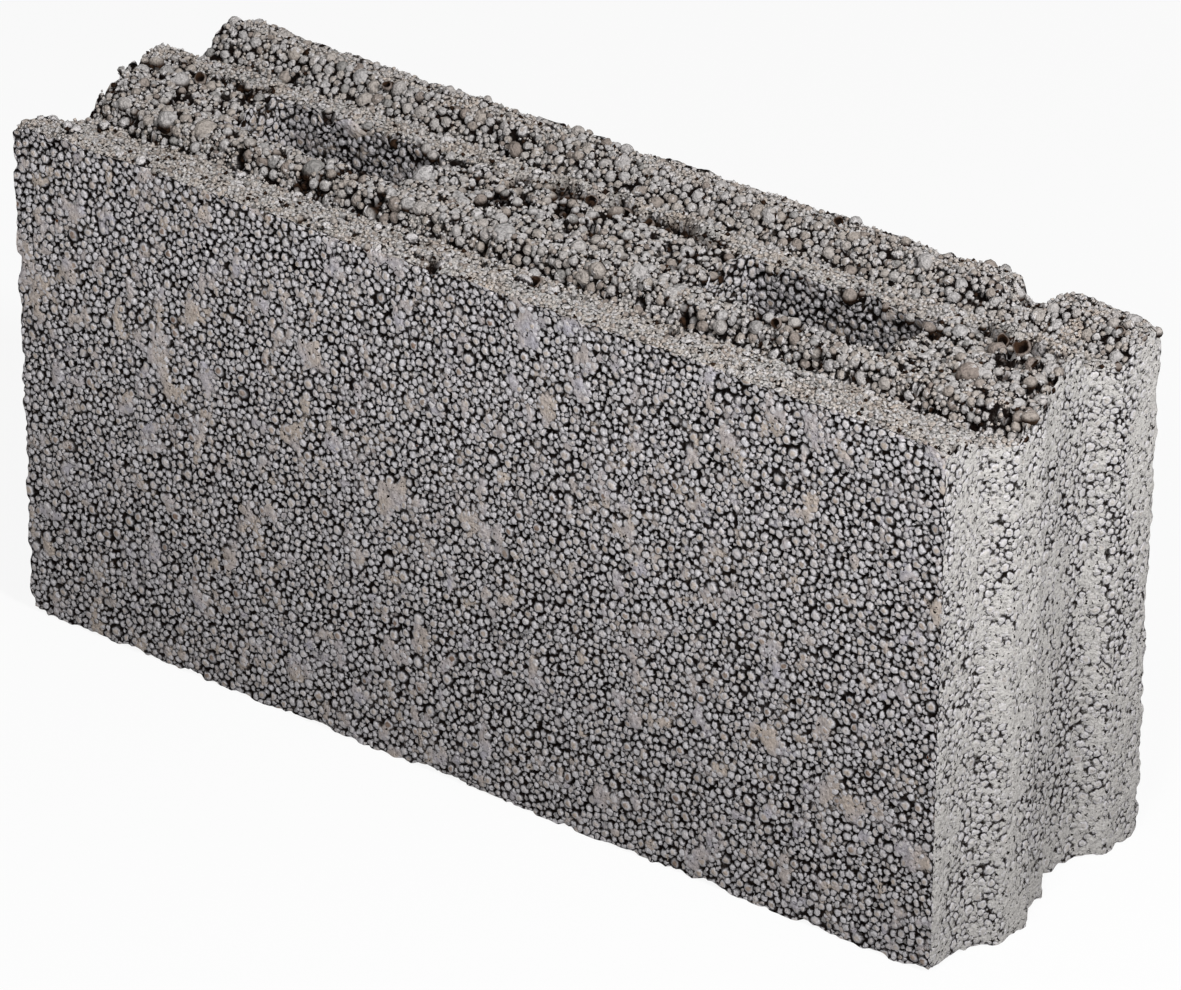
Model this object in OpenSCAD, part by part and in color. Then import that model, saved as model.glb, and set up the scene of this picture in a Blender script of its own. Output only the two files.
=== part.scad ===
// Lightweight concrete building block for a wall.
// Each end has an upright tongue and an upright groove, the top has two mortar channels
// along its length, and two drafted pockets open to the top. Sizes are in millimetres.
// X runs along the block, Y across it and Z up from the bed that it stands on.

/* [Block] */
// Length between the flat parts of the two ends
block_l = 500; // [420:1:700]
// Width across the front and rear faces
block_w = 150; // [134:1:260]
// Height from the bed to the tops of the lips and of the middle band
block_h = 240; // [120:1:300]
// Radius on the four upright corners
corner_r = 3; // [0.5:0.5:8]

/* [Tongue and groove] */
// Distance of the tongue's and the groove's middle from the block's middle plane
key_offset = 27; // [24:0.5:44]
// Width of the tongue at its root
tongue_root_w = 42; // [30:0.5:48]
// Width of the tongue's flat tip
tongue_tip_w = 20; // [10:0.5:26]
// Height of the tongue above the end
tongue_h = 8; // [4:0.5:14]
// Clearance between a tongue and the groove of the next block
key_clearance = 1; // [0.25:0.25:2.5]
// Radius on the tongue's and the groove's corners
key_r = 3; // [0.5:0.5:5]

/* [Mortar channels] */
// Depth of the channels below the lips
channel_depth = 10; // [5:0.5:24]
// Width of the flat top of a lip
lip_w = 13; // [8:0.5:18]
// Run of the slope from a lip to the channel's floor
lip_slope = 13; // [4:0.5:17]
// Width of the flat top of the middle band
band_w = 62; // [48:0.5:70]
// Run of the slope from the middle band to the channel's floor
band_slope = 4; // [2:0.5:8]
// Radius on the edges of the lips and of the middle band
edge_r = 2.5; // [0.5:0.5:4]
// Radius in the corners of the channels' floors
floor_r = 2; // [0.5:0.5:3]

/* [Pockets] */
// Distance between the middles of the two pockets
pocket_pitch = 258; // [190:1:300]
// Length of a pocket at the top of the band
pocket_l = 98; // [60:1:120]
// Width of a pocket at the top of the band
pocket_w = 34; // [20:0.5:40]
// Radius on a pocket's upright corners
pocket_r = 9; // [2:0.5:9.5]
// Draft of a pocket's walls from the top to its floor
pocket_draft = 3; // [0.5:0.5:5]
// Thickness of the closed base under a pocket
pocket_base = 30; // [15:1:80]

/* [Hidden] */
// Straight pieces in each rounded corner
arc_steps = 6;
// How far a cut runs past the face that it opens
overrun = 5;
// Overall length with a tongue on each end
overall_l = block_l + 2 * tongue_h;
// Pocket depth from the top of the band
pocket_depth = block_h - pocket_base;
concrete_grey = [0.62, 0.61, 0.59];

function unit(v) = v / norm(v);

// Arc of radius r that rounds corner b of an outline between its neighbours a and c
function corner_arc(a, b, c, r) =
    let (
        to_a = unit(a - b),
        to_c = unit(c - b),
        half = acos(to_a * to_c) / 2,
        centre = b + unit(to_a + to_c) * r / sin(half),
        start = b + to_a * r / tan(half) - centre,
        turn = sign(cross(to_a, to_c)) * (2 * half - 180)
    )
    [for (i = [0 : arc_steps])
        let (t = turn * i / arc_steps)
        centre + [start.x * cos(t) - start.y * sin(t), start.x * sin(t) + start.y * cos(t)]];

// Outline through corners [x, y, radius], with radius 0 for a sharp corner
function rounded(corners) =
    let (n = len(corners), p = [for (c = corners) [c[0], c[1]]])
    [for (i = [0 : n - 1])
        each corners[i][2] > 0
            ? corner_arc(p[(i + n - 1) % n], p[i], p[(i + 1) % n], corners[i][2])
            : [p[i]]];

function mirrored(corners) = [for (i = [len(corners) - 1 : -1 : 0])
    [-corners[i][0], corners[i][1], corners[i][2]]];

function turned(corners) = [for (c = corners) [-c[0], -c[1], c[2]]];

// Right end from the front corner to the rear one: the tongue, then the groove.
// The groove is the tongue's form grown by the clearance.
function right_end() =
    let (
        x = block_l / 2,
        root = tongue_root_w / 2,
        tip = tongue_tip_w / 2,
        gap = key_clearance
    )
    [
        [x, -block_w / 2, corner_r],
        [x, -key_offset - root, key_r],
        [x + tongue_h, -key_offset - tip, key_r],
        [x + tongue_h, -key_offset + tip, key_r],
        [x, -key_offset + root, key_r],
        [x, key_offset - root - gap, key_r],
        [x - tongue_h - gap, key_offset - tip - gap, key_r],
        [x - tongue_h - gap, key_offset + tip + gap, key_r],
        [x, key_offset + root + gap, key_r],
        [x, block_w / 2, corner_r]
    ];

// Half of the cross-section on the rear side, from the bed up and in to the middle band
function rear_half() =
    let (
        lip = block_w / 2 - lip_w,
        band = band_w / 2,
        floor_z = block_h - channel_depth
    )
    [
        [block_w / 2, 0, 0],
        [block_w / 2, block_h, edge_r],
        [lip, block_h, edge_r],
        [lip - lip_slope, floor_z, floor_r],
        [band + band_slope, floor_z, floor_r],
        [band, block_h, edge_r]
    ];

// Plan with the second end as the first one turned half round
module plan() {
    linear_extrude(height = block_h)
        polygon(rounded(concat(right_end(), turned(right_end()))));
}

// Cross-section with both lips, both channels and the middle band
module section() {
    translate([-overall_l / 2, 0, 0])
        rotate([90, 0, 90])
            linear_extrude(height = overall_l)
                polygon(rounded(concat(rear_half(), mirrored(rear_half()))));
}

// Pocket core, drafted so that it is widest at the top
module pocket_core() {
    floor_l = pocket_l - 2 * pocket_draft;
    floor_w = pocket_w - 2 * pocket_draft;
    height = pocket_depth + overrun;
    widening = 2 * pocket_draft * height / pocket_depth;
    corners = [
        [-floor_l / 2, -floor_w / 2, pocket_r * floor_w / pocket_w],
        [floor_l / 2, -floor_w / 2, pocket_r * floor_w / pocket_w],
        [floor_l / 2, floor_w / 2, pocket_r * floor_w / pocket_w],
        [-floor_l / 2, floor_w / 2, pocket_r * floor_w / pocket_w]
    ];
    translate([0, 0, pocket_base])
        linear_extrude(
            height = height,
            slices = 1,
            scale = [(floor_l + widening) / floor_l, (floor_w + widening) / floor_w]
        )
            polygon(rounded(corners));
}

module block() {
    color(concrete_grey)
        difference() {
            intersection() {
                plan();
                section();
            }
            for (side = [-1, 1])
                translate([side * pocket_pitch / 2, 0, 0])
                    pocket_core();
        }
}

block();
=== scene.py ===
import functools
import math
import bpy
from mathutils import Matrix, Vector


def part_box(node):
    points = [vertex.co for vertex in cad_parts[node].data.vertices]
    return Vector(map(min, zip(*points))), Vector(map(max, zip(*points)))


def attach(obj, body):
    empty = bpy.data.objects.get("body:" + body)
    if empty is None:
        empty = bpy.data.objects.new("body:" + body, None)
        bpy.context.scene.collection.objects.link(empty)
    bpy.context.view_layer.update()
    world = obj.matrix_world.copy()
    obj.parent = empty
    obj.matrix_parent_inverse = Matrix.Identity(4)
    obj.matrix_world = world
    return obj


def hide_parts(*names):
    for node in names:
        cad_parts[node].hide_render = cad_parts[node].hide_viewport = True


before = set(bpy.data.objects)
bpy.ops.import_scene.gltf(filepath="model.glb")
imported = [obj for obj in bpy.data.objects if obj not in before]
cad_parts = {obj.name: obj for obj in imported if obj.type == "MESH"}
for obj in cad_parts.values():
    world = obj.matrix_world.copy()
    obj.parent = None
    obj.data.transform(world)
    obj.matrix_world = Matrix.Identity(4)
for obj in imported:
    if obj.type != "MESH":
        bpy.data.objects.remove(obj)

from types import SimpleNamespace

import bpy
import numpy as np
from bpy.props import FloatProperty, FloatVectorProperty, PointerProperty
from mathutils import Matrix, Vector

bl_info = {
    "name": "Lightweight Concrete Block",
    "version": (1, 0, 0),
    "blender": (4, 5, 0),
    "location": "View3D > Sidebar > Block",
    "description": "Pellet concrete skins for a tongue-and-groove wall block",
    "category": "Add Mesh",
}

MM = 0.001
NODE = "block"
CAD_LOW, CAD_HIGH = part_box(NODE)
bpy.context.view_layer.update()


# Colours


def linear(hex_colour):
    """sRGB hex such as "A8A6A2" as linear red, green and blue."""
    parts = [int(hex_colour[i : i + 2], 16) / 255 for i in (0, 2, 4)]
    return tuple(c / 12.92 if c <= 0.04045 else ((c + 0.055) / 1.055) ** 2.4 for c in parts)


# Settings that a user would change


def length(name, description, default):
    """A length property in metres."""
    return FloatProperty(name=name, description=description, default=default, min=0.0, unit="LENGTH")


def colour(name, description, hex_colour):
    """A colour property, written as sRGB hex."""
    return FloatVectorProperty(
        name=name, description=description, default=linear(hex_colour), min=0.0, max=1.0, subtype="COLOR"
    )


class BlockSizes(bpy.types.PropertyGroup):
    """Sizes of the block's form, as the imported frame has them."""

    overall_length: length("Overall length", "Length over the tongues", CAD_HIGH[0] - CAD_LOW[0])
    width: length("Width", "Width across the faces", CAD_HIGH[1] - CAD_LOW[1])
    height: length("Height", "Height to the tops of the lips", CAD_HIGH[2] - CAD_LOW[2])
    tongue_height: length("Tongue height", "Height of a tongue above its end", 0.008)
    tongue_root: length("Tongue root", "Width of a tongue at its root", 0.042)
    tongue_tip: length("Tongue tip", "Width of a tongue's flat tip", 0.020)
    key_offset: length("Key offset", "Distance of tongue and groove from the middle plane", 0.027)
    key_clearance: length("Key clearance", "Clearance of a groove round a tongue", 0.001)
    channel_depth: length("Channel depth", "Depth of the mortar channels", 0.010)
    lip_width: length("Lip width", "Flat top of a lip", 0.013)
    lip_slope: length("Lip slope", "Run of the slope from a lip to the channel", 0.013)
    band_width: length("Band width", "Flat top of the middle band", 0.062)
    band_slope: length("Band slope", "Run of the slope from the band to the channel", 0.004)
    pocket_pitch: length("Pocket pitch", "Distance between the middles of the pockets", 0.258)
    pocket_length: length("Pocket length", "Length of a pocket at its rim", 0.098)
    pocket_width: length("Pocket width", "Width of a pocket at its rim", 0.034)
    pocket_corner: length("Pocket corner", "Radius of a pocket's upright corners", 0.009)
    pocket_draft: length("Pocket draft", "Draft of a pocket's walls from rim to floor", 0.003)
    pocket_base: length("Pocket base", "Thickness of the base under a pocket", 0.030)


class ConcreteLooks(bpy.types.PropertyGroup):
    """Relief and colours of the pellet concrete."""

    pitch: length("Grid pitch", "Spacing of the skin's vertices", 0.0013)
    wear: length("Edge wear", "How far the block's edges are rubbed back", 0.0015)
    crevice: length("Crevice depth", "Deepest gap between pellets", 0.0034)
    pellet: colour("Pellet", "Cement-coated clay pellets of the moulded faces", "D0CDD0")
    bare: colour("Bare pellet", "Pellets of the rough top", "CECACA")
    warm: colour("Warm pellet", "Pellets with a brownish coat", "BCAFA4")
    dark: colour("Dark pellet", "Pellets with little cement on them", "8A8784")
    smear: colour("Smear", "Brownish paste smeared over the long faces", "BAAEA4")
    paste: colour("Paste", "Smeared and tamped cement paste", "BBB8B5")
    gap: colour("Gap", "Unlit depth between pellets", "120C09")
    slick: colour("Slick", "Smooth grey paste trowelled by the mould plate", "B5B2BA")
    rust: colour("Rust", "Brown iron-rich pellets", "5E3A20")
    broken: colour("Broken pellet", "Dark fired clay inside a broken pellet", "35261C")


class BlockSettings(bpy.types.PropertyGroup):
    """All settings of the block."""

    sizes: PointerProperty(type=BlockSizes)
    looks: PointerProperty(type=ConcreteLooks)


def sizes_mm():
    """The sizes in millimetres, with the length between the flat ends."""
    group = bpy.context.scene.concrete_block.sizes
    size = SimpleNamespace(**{key: getattr(group, key) / MM for key in BlockSizes.__annotations__})
    size.flat_length = size.overall_length - 2 * size.tongue_height
    return size


def looks():
    """The relief and colour settings."""
    return bpy.context.scene.concrete_block.looks


# Smooth random fields

# Level of a plane in its cell of noise, away from the cell's corners
PLANE_LEVEL = 0.37


def eased(t):
    """Smooth step of t from 0 to 1."""
    t = np.clip(t, 0.0, 1.0)
    return t * t * (3.0 - 2.0 * t)


def hashed(cell, seed):
    """A fixed random number from -1 to 1 for each whole-number cell (x, y, z).

    Large odd factors and shifts scatter the cell over 32 bits.
    """
    c = cell.astype(np.int64).astype(np.uint32)
    h = c[..., 0] * np.uint32(374761393) + c[..., 1] * np.uint32(668265263)
    h = h + c[..., 2] * np.uint32(2246822519) + np.uint32((seed * 3266489917) % 2**32)
    h = (h ^ (h >> np.uint32(13))) * np.uint32(1274126177)
    h = (h ^ (h >> np.uint32(15))) * np.uint32(2654435761)
    return (h ^ (h >> np.uint32(16))).astype(np.float64) / 2**31 - 1.0


def noise(points, size, seed):
    """Value noise from -1 to 1: cell corners size apart get random numbers, eased between."""
    p = points / size
    low = np.floor(p)
    f = eased(p - low)
    total = np.zeros(p.shape[:-1])
    for corner in np.ndindex(2, 2, 2):
        share = np.prod(np.where(np.array(corner) == 1, f, 1.0 - f), axis=-1)
        total += share * hashed(low + corner, seed)
    return total


def flat_noise(s, t, size, seed):
    """Value noise over a plane, with its cells' size in millimetres."""
    return noise(np.stack(np.broadcast_arrays(s, t, PLANE_LEVEL * size), -1), size, seed)


# Profiles of the block, in millimetres

# Step along a profile, and how far the corners of the top and of the tongue and groove are rounded
PATH_STEP, EDGE_ROUNDING, KEY_ROUNDING = 0.1, 4.0, 4.0


def running_mean(values, count):
    """Mean of each value with its count neighbours, with the ends carried on straight."""
    before = 2 * values[0] - values[count:0:-1]
    after = 2 * values[-1] - values[-2 : -count - 2 : -1]
    padded = np.concatenate([before, values, after])
    kernel = np.ones(2 * count + 1) / (2 * count + 1)
    return np.convolve(padded, kernel, mode="valid")


def run_along(path):
    """Distance along a path to each of its points."""
    return np.concatenate([[0.0], np.cumsum(np.hypot(*np.diff(path, axis=0).T))])


def rounded_path(corners, rounding):
    """A polyline through corners in small even steps, its corners rounded by a running mean."""
    corners = np.array(corners, float)
    run = run_along(corners)
    at = np.linspace(0.0, run[-1], int(run[-1] / PATH_STEP) + 1)
    count = max(1, int(rounding / 2 / PATH_STEP))
    path = [running_mean(np.interp(at, run, corners[:, k]), count) for k in (0, 1)]
    return np.stack(path, -1)


def pinned_steps(pins, pitch):
    """Places about pitch apart that include every pin."""
    counts = [max(1, round((b - a) / pitch)) for a, b in zip(pins, pins[1:])]
    parts = [np.linspace(a, b, n + 1)[:-1] for a, b, n in zip(pins, pins[1:], counts)]
    return np.concatenate([*parts, [pins[-1]]])


def end_profile(size):
    """Right end in plan as a path of (y, x): the tongue, then the groove."""
    x, k = size.flat_length / 2, size.key_offset
    root, tip, gap = size.tongue_root / 2, size.tongue_tip / 2, size.key_clearance
    out, back = x + size.tongue_height, x - size.tongue_height - gap
    corners = [
        (-size.width / 2, x),
        (-k - root, x),
        (-k - tip, out),
        (-k + tip, out),
        (-k + root, x),
        (k - root - gap, x),
        (k - tip - gap, back),
        (k + tip + gap, back),
        (k + root + gap, x),
        (size.width / 2, x),
    ]
    return rounded_path(corners, KEY_ROUNDING)


def top_profile(size):
    """Top in section as a path of (y, z), from the front lip over the band to the rear lip."""
    half, h, low = size.width / 2, size.height, size.height - size.channel_depth
    lip, band = half - size.lip_width, size.band_width / 2
    rear = [(band, h), (band + size.band_slope, low), (lip - size.lip_slope, low), (lip, h), (half, h)]
    front = [(-y, z) for y, z in reversed(rear)]
    return rounded_path(front + rear, EDGE_ROUNDING)


def section_at(size, at):
    """Top's section at distances along it: y, z and the unit tangent."""
    path = top_profile(size)
    run = run_along(path)
    y, z = (np.interp(at, run, path[:, k]) for k in (0, 1))
    slope = np.gradient(path, run, axis=0)
    ty, tz = (np.interp(at, run, slope[:, k]) for k in (0, 1))
    grown = np.hypot(ty, tz)
    return SimpleNamespace(y=y, z=z, ty=ty / grown, tz=tz / grown, run=at, end=run[-1])


def rows_of_top(size, pitch):
    """Rows across the top, with rows along the pockets' long rims."""
    path = top_profile(size)
    run = run_along(path)
    rims = np.interp([-size.pocket_width / 2, size.pocket_width / 2], path[:, 0], run)
    return section_at(size, pinned_steps([0.0, *rims, run[-1]], pitch))


def end_at(size, y):
    """Right end at y: x, unit tangent (x, y) and distance along the profile."""
    path = end_profile(size)
    run = run_along(path)
    slope = np.gradient(path, run, axis=0)
    ty, tx = (np.interp(y, path[:, 0], slope[:, k]) for k in (0, 1))
    grown = np.hypot(tx, ty)
    x, at = np.interp(y, path[:, 0], path[:, 1]), np.interp(y, path[:, 0], run)
    return SimpleNamespace(x=x, tx=tx / grown, ty=ty / grown, run=at)


def columns(size, pitch, y):
    """x of each column at each y, from the left end's profile to the right end's.

    There are columns on the pockets' short rims.
    """
    outer = (size.pocket_pitch + size.pocket_length) / 2
    inner = (size.pocket_pitch - size.pocket_length) / 2
    rims = np.array([-outer, -inner, inner, outer])
    pins = np.array([-size.flat_length / 2, *rims, size.flat_length / 2])
    nominal = pinned_steps(pins, pitch)
    right, left = end_at(size, y).x, -end_at(size, -y).x
    moved = np.concatenate([left[:, None], np.tile(rims, (len(y), 1)), right[:, None]], axis=1)
    segment = np.clip(np.searchsorted(pins, nominal, side="right") - 1, 0, len(pins) - 2)
    share = (nominal - pins[segment]) / (pins[segment + 1] - pins[segment])
    return (moved[:, segment] + share * (moved[:, segment + 1] - moved[:, segment])).T


# Damage and mounds that make the top uneven, in millimetres

# Notch in the rear lip: place, half widths of its steep and gentle sides, and depth
NOTCH_X, NOTCH_STEEP, NOTCH_GENTLE, NOTCH_DEPTH = 188.0, 8.0, 15.0, 9.5
# How far the notch's sides reach, in half widths, and its ramp in front of the lip
NOTCH_REACH, NOTCH_RAMP = 1.25, 8.0
# Worn corners: length, drop, and where they start and end across the block
CORNER_RUN, CORNER_DROP, CORNER_FROM, CORNER_TO = 9.0, 3.0, 62.0, 74.0
MOUNDS = (
    # x, y, half length, half width, height
    (-232.0, -6.0, 26.0, 22.0, 3.0),
    (6.0, 4.0, 48.0, 22.0, 2.2),
    (226.0, -4.0, 24.0, 20.0, 3.0),
    (-232.0, 66.0, 16.0, 14.0, 4.0),
    (170.0, 66.0, 9.0, 14.0, 2.0),
)
# Crust along the band's rear edge and the hollow in front of it: y, half width, and height or depth
CRUST_Y, CRUST_HALF, CRUST_RISE = 25.5, 3.0, 3.0
HOLLOW_Y, HOLLOW_HALF, HOLLOW_DROP = 19.5, 3.6, 4.5
# Stretches of the crust along x, and how far their ends taper
CRUST_RUNS = ((-34.0, 72.0), (186.0, 244.0))
CRUST_TAPER = 14.0
# Depth of a cavity in the paste, and what bare pellets add to it
CAVITY_DEPTH, BARE_DEPTH = 1.9, 1.6
# Half width of the row of cavities at the foot of the band's front slope
FOOT_HALF = 2.5
# How dark the hollow is against its depth
HOLLOW_SHADE = 1.3

# How rough the top is across the block, as (y, share): bare pellets, clumps and cavities
PELLETS_ACROSS = (
    (-75.0, 0.1),
    (-37.0, 0.1),
    (-34.0, 0.9),
    (-20.0, 0.95),
    (-6.0, 1.2),
    (15.0, 1.2),
    (21.0, 0.25),
    (31.0, 0.2),
    (36.0, 0.05),
    (48.0, 0.1),
    (53.0, 0.8),
    (61.0, 0.8),
    (66.0, 0.5),
    (75.0, 0.6),
)
CLUMPS_ACROSS = (
    (-75.0, 0.15),
    (-36.0, 0.15),
    (-31.0, 0.5),
    (-18.0, 0.7),
    (-4.0, 1.4),
    (16.0, 1.1),
    (21.0, 0.2),
    (48.0, 0.12),
    (56.0, 0.35),
    (75.0, 0.35),
)
CAVITIES_ACROSS = (
    (-75.0, 0.2),
    (-70.0, 0.6),
    (-56.0, 0.65),
    (-40.0, 0.8),
    (-35.0, 0.9),
    (-20.0, 1.0),
    (-10.0, 1.2),
    (17.0, 1.2),
    (22.0, 0.5),
    (50.0, 0.35),
    (75.0, 0.35),
)
# Deep holes on the top: x, y and half width
HOLES = (
    (-41.0, 19.0, 4.0),
    (-16.0, 13.5, 4.0),
    (-3.5, 18.0, 4.5),
    (12.0, 9.0, 5.0),
    (15.5, 18.0, 4.5),
    (28.0, 19.0, 5.0),
    (38.0, 20.0, 4.5),
    (-120.0, -31.0, 4.0),
    (-12.0, -42.0, 2.5),
    (184.0, 10.0, 4.5),
    (220.0, 16.0, 4.5),
    (227.0, 17.0, 4.0),
    (224.0, 0.0, 4.0),
    (247.0, -1.0, 3.5),
    (-242.0, 10.0, 4.5),
    (-226.0, 7.0, 4.0),
    (-236.0, 22.0, 4.0),
)


def across(y, table):
    """Share at y from a table of (y, share)."""
    return np.interp(y, *zip(*table))


def crust(x, y):
    """Crust along the band's rear edge, from 0 to 1, and the hollow in front of it, from 0 to 1."""
    along = sum(eased((x - a) / CRUST_TAPER) * eased((b - x) / CRUST_TAPER) for a, b in CRUST_RUNS)
    ragged = y + 2.5 * flat_noise(x, y, 11.0, 41)
    uneven = along * np.clip(0.7 + 0.8 * flat_noise(x, y, 8.0, 42), 0.0, 1.3)
    ridge = uneven * np.exp(-(((ragged - CRUST_Y) / CRUST_HALF) ** 2))
    return ridge, uneven * np.exp(-(((ragged - HOLLOW_Y) / HOLLOW_HALF) ** 2))


def cavities(size, x, y):
    """Open cavities from 0 to 1, where noise is high, and the listed deep holes.

    There are many on the band and at its foot, and few on the flats.
    """
    field = 0.9 * flat_noise(x, y, 6.2, 45) + 0.6 * flat_noise(x, y, 3.0, 46)
    foot = np.exp(-(((y + size.band_width / 2 + size.band_slope) / FOOT_HALF) ** 2))
    level = 0.74 - 0.44 * across(y, CAVITIES_ACROSS) - 0.14 * foot
    open_to = eased((field - level) / 0.25)
    for hole_x, hole_y, half in HOLES:
        far = np.hypot(x - hole_x, y - hole_y) / half + 0.4 * field
        open_to = np.maximum(open_to, eased((1.25 - far) / 0.5))
    return open_to


def unlit(size, x, y):
    """How dark the cavities and the hollow by the crust are, from 0 to 1."""
    return np.maximum(cavities(size, x, y), np.clip(HOLLOW_SHADE * crust(x, y)[1], 0.0, 1.0))


def top_offset(size, x, y):
    """Height of the rough top above its moulded form.

    It is slow noise, clumps, mounds and the crust, less the cavities, the notch in the rear lip and
    the worn corners.
    """
    lift = 0.7 * flat_noise(x, y, 42.0, 11) + 0.5 * flat_noise(x, y, 15.0, 12)
    clumps = 2.6 * flat_noise(x, y, 10.5, 13) + 1.4 * flat_noise(x, y, 5.2, 14)
    lift = lift + clumps * across(y, CLUMPS_ACROSS)
    for mx, my, half_x, half_y, height in MOUNDS:
        lift = lift + height * np.exp(-(((x - mx) / half_x) ** 2) - ((y - my) / half_y) ** 2)
    ridge, hollow = crust(x, y)
    lift = lift + CRUST_RISE * ridge - HOLLOW_DROP * hollow
    lift = lift - cavities(size, x, y) * (CAVITY_DEPTH + BARE_DEPTH * across(y, PELLETS_ACROSS))
    lip = eased((y - (size.width / 2 - size.lip_width - NOTCH_RAMP)) / NOTCH_RAMP)
    half_width = np.where(x < NOTCH_X, NOTCH_STEEP, NOTCH_GENTLE)
    notch = eased(NOTCH_REACH - np.abs(x - NOTCH_X) / half_width)
    corner = eased(1.0 - (size.flat_length / 2 - np.abs(x)) / CORNER_RUN)
    out = eased((np.abs(y) - CORNER_FROM) / (CORNER_TO - CORNER_FROM))
    return lift - lip * NOTCH_DEPTH * notch - CORNER_DROP * corner * out


# Pellets, in millimetres

# Places that are worked out at a time
CHUNK = 6000
# Radius of a pellet's dome as a share of its packed radius, so that neighbours meet
MOULDED_SPREAD, LOOSE_SPREAD = 1.16, 1.12
# Range of a pellet's radius about its grade's, and a share that is a little over the largest
RADIUS_RANGE, RADIUS_REACH = (0.86, 1.14), 1.15
# Least distance of two pellets' middles, as a share of their radii
CLOSEST = 0.93
# Place of a first pellet far outside, which is dropped at the end, and height where no pellet is
FAR_OUTSIDE, NOWHERE = -50.0, -99.0
# Least rise of a dome at its rim, which keeps its slope finite
LEAST_RISE = 0.02
# Names under which a face carries its three highest pellets
RANKS = ("first", "second", "third")


def near(places, centres, reach):
    """For each place, the indices of the centres in its own cell and the eight around it.

    They are -1 where there are fewer.
    """
    low = np.minimum(places.min(0), centres.min(0)) - 2 * reach
    stride = int(np.ceil((max(places[:, 1].max(), centres[:, 1].max()) - low[1]) / reach)) + 3
    home = np.floor((centres - low) / reach).astype(int)
    key = home[:, 0] * stride + home[:, 1]
    order = np.argsort(key, kind="stable")
    here = np.floor((places - low) / reach).astype(int)
    steps = np.array([i * stride + j for i in (-1, 0, 1) for j in (-1, 0, 1)])
    cells = (here[:, 0] * stride + here[:, 1])[:, None] + steps
    first = np.searchsorted(key[order], cells, side="left")
    last = np.searchsorted(key[order], cells, side="right")
    slots = first[..., None] + np.arange(max(1, int((last - first).max())))
    found = np.where(slots < last[..., None], order[np.minimum(slots, len(order) - 1)], -1)
    return found.reshape(len(places), -1)


def pack_pellets(span, grading, seed):
    """Pellets side by side on a flat span, the largest first.

    grading is (radius, rounds, share). In each turn every fourth cell of a grid gets one place,
    a share of them is tried, and those that clear the pellets already down are kept.
    """
    rng = np.random.default_rng(seed)
    centres, radii = np.full((1, 2), FAR_OUTSIDE), np.ones(1)
    for radius, rounds, share in grading:
        cell = 2.0 * radius
        count = np.ceil(np.array(span) / cell).astype(int)
        for turn in range(4 * rounds):
            cells = np.meshgrid(np.arange(turn % 2, count[0], 2), np.arange(turn // 2 % 2, count[1], 2))
            cells = np.stack(cells, -1).reshape(-1, 2)
            cells = cells[rng.random(len(cells)) < share]
            place = (cells + rng.random(cells.shape)) * cell
            grown = radius * rng.uniform(*RADIUS_RANGE, len(place))
            other = near(place, centres, radii.max() + RADIUS_REACH * radius)
            apart = np.hypot(*np.moveaxis(centres[other] - place[:, None], -1, 0))
            clear = (apart > CLOSEST * (radii[other] + grown[:, None])) | (other < 0)
            kept = clear.all(axis=1)
            centres = np.concatenate([centres, place[kept]])
            radii = np.concatenate([radii, grown[kept]])
    return centres[1:], radii[1:], rng


# Seeds of the moulded pellets, the loose ones and the crumbs
MOULDED_SEED, LOOSE_SEED, CRUMB_SEED = 7, 19, 23
# Flat spans that cover the largest skins, and gradings as (radius, rounds, share tried)
MOULDED_SPAN = (524.0, 262.0)
MOULDED_GRADING = (
    (3.1, 1, 0.06),
    (2.4, 1, 0.2),
    (1.95, 2, 0.5),
    (1.65, 3, 0.9),
    (1.35, 4, 1.0),
    (1.08, 4, 1.0),
    (0.86, 4, 0.8),
    (0.7, 2, 0.5),
)
LOOSE_SPAN = (540.0, 250.0)
LOOSE_GRADING = (
    (4.6, 1, 0.05),
    (3.4, 1, 0.15),
    (2.6, 1, 0.4),
    (2.1, 2, 0.9),
    (1.75, 4, 1.0),
    (1.4, 5, 1.0),
    (1.1, 4, 0.8),
)
CRUMB_GRADING = (
    (1.3, 1, 0.3),
    (1.0, 2, 0.55),
    (0.75, 3, 0.8),
)
# Distance within which a pellet can be the highest
PELLET_REACH = 6.4
# Crumbs of a warmer tone than this are broken ones that show their dark inside
FLECK_TONE = 0.87
# How far a moulded pellet's top may lie behind the plate, and a small one's besides that
BACK, SMALL_BACK, SMALL_RADIUS, SMALL_RANGE = 0.7, 0.8, 1.6, 0.8
# Share of the loose pellets that stand proud, how far in radii, and how far the others stray
PROUD_SHARE, PROUD_RISE, STRAY_RISE, STRAY_LIMIT = 0.06, 0.7, 0.3, 1.6
# Places of brown specks on the moulded faces: along the face and up it
BROWN_SPOTS = (
    (502.0, 108.0),
    (503.0, 106.0),
    (30.0, 206.0),
    (236.0, 160.0),
)
# Largest pellet that is a speck
SPECK_RADIUS = 1.2
# How far a crumb's middle stands out of the paste, in radii
CRUMB_RISE = (-0.25, 0.6)


@functools.lru_cache(maxsize=None)
def moulded_pellets():
    """Pellets pressed against a mould plate: their tops are level with it or a little behind it."""
    places, radii, rng = pack_pellets(MOULDED_SPAN, MOULDED_GRADING, MOULDED_SEED)
    count, small = len(radii), eased((SMALL_RADIUS - radii) / SMALL_RANGE)
    top = -BACK * rng.random(count) ** 2 - SMALL_BACK * small * rng.random(count)
    tone = 0.5 * rng.random(count) + 0.4 * eased((radii - 1.3) / 1.6)
    away = np.hypot(*(places[:, None] - np.array(BROWN_SPOTS)).transpose(2, 0, 1))
    away[radii >= SPECK_RADIUS] = np.inf
    tone[np.argmin(away, axis=0)] = 1.0
    return SimpleNamespace(at=places, r=radii * MOULDED_SPREAD, top=top, tone=tone, flatness=0.5, dome=1.05)


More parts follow.
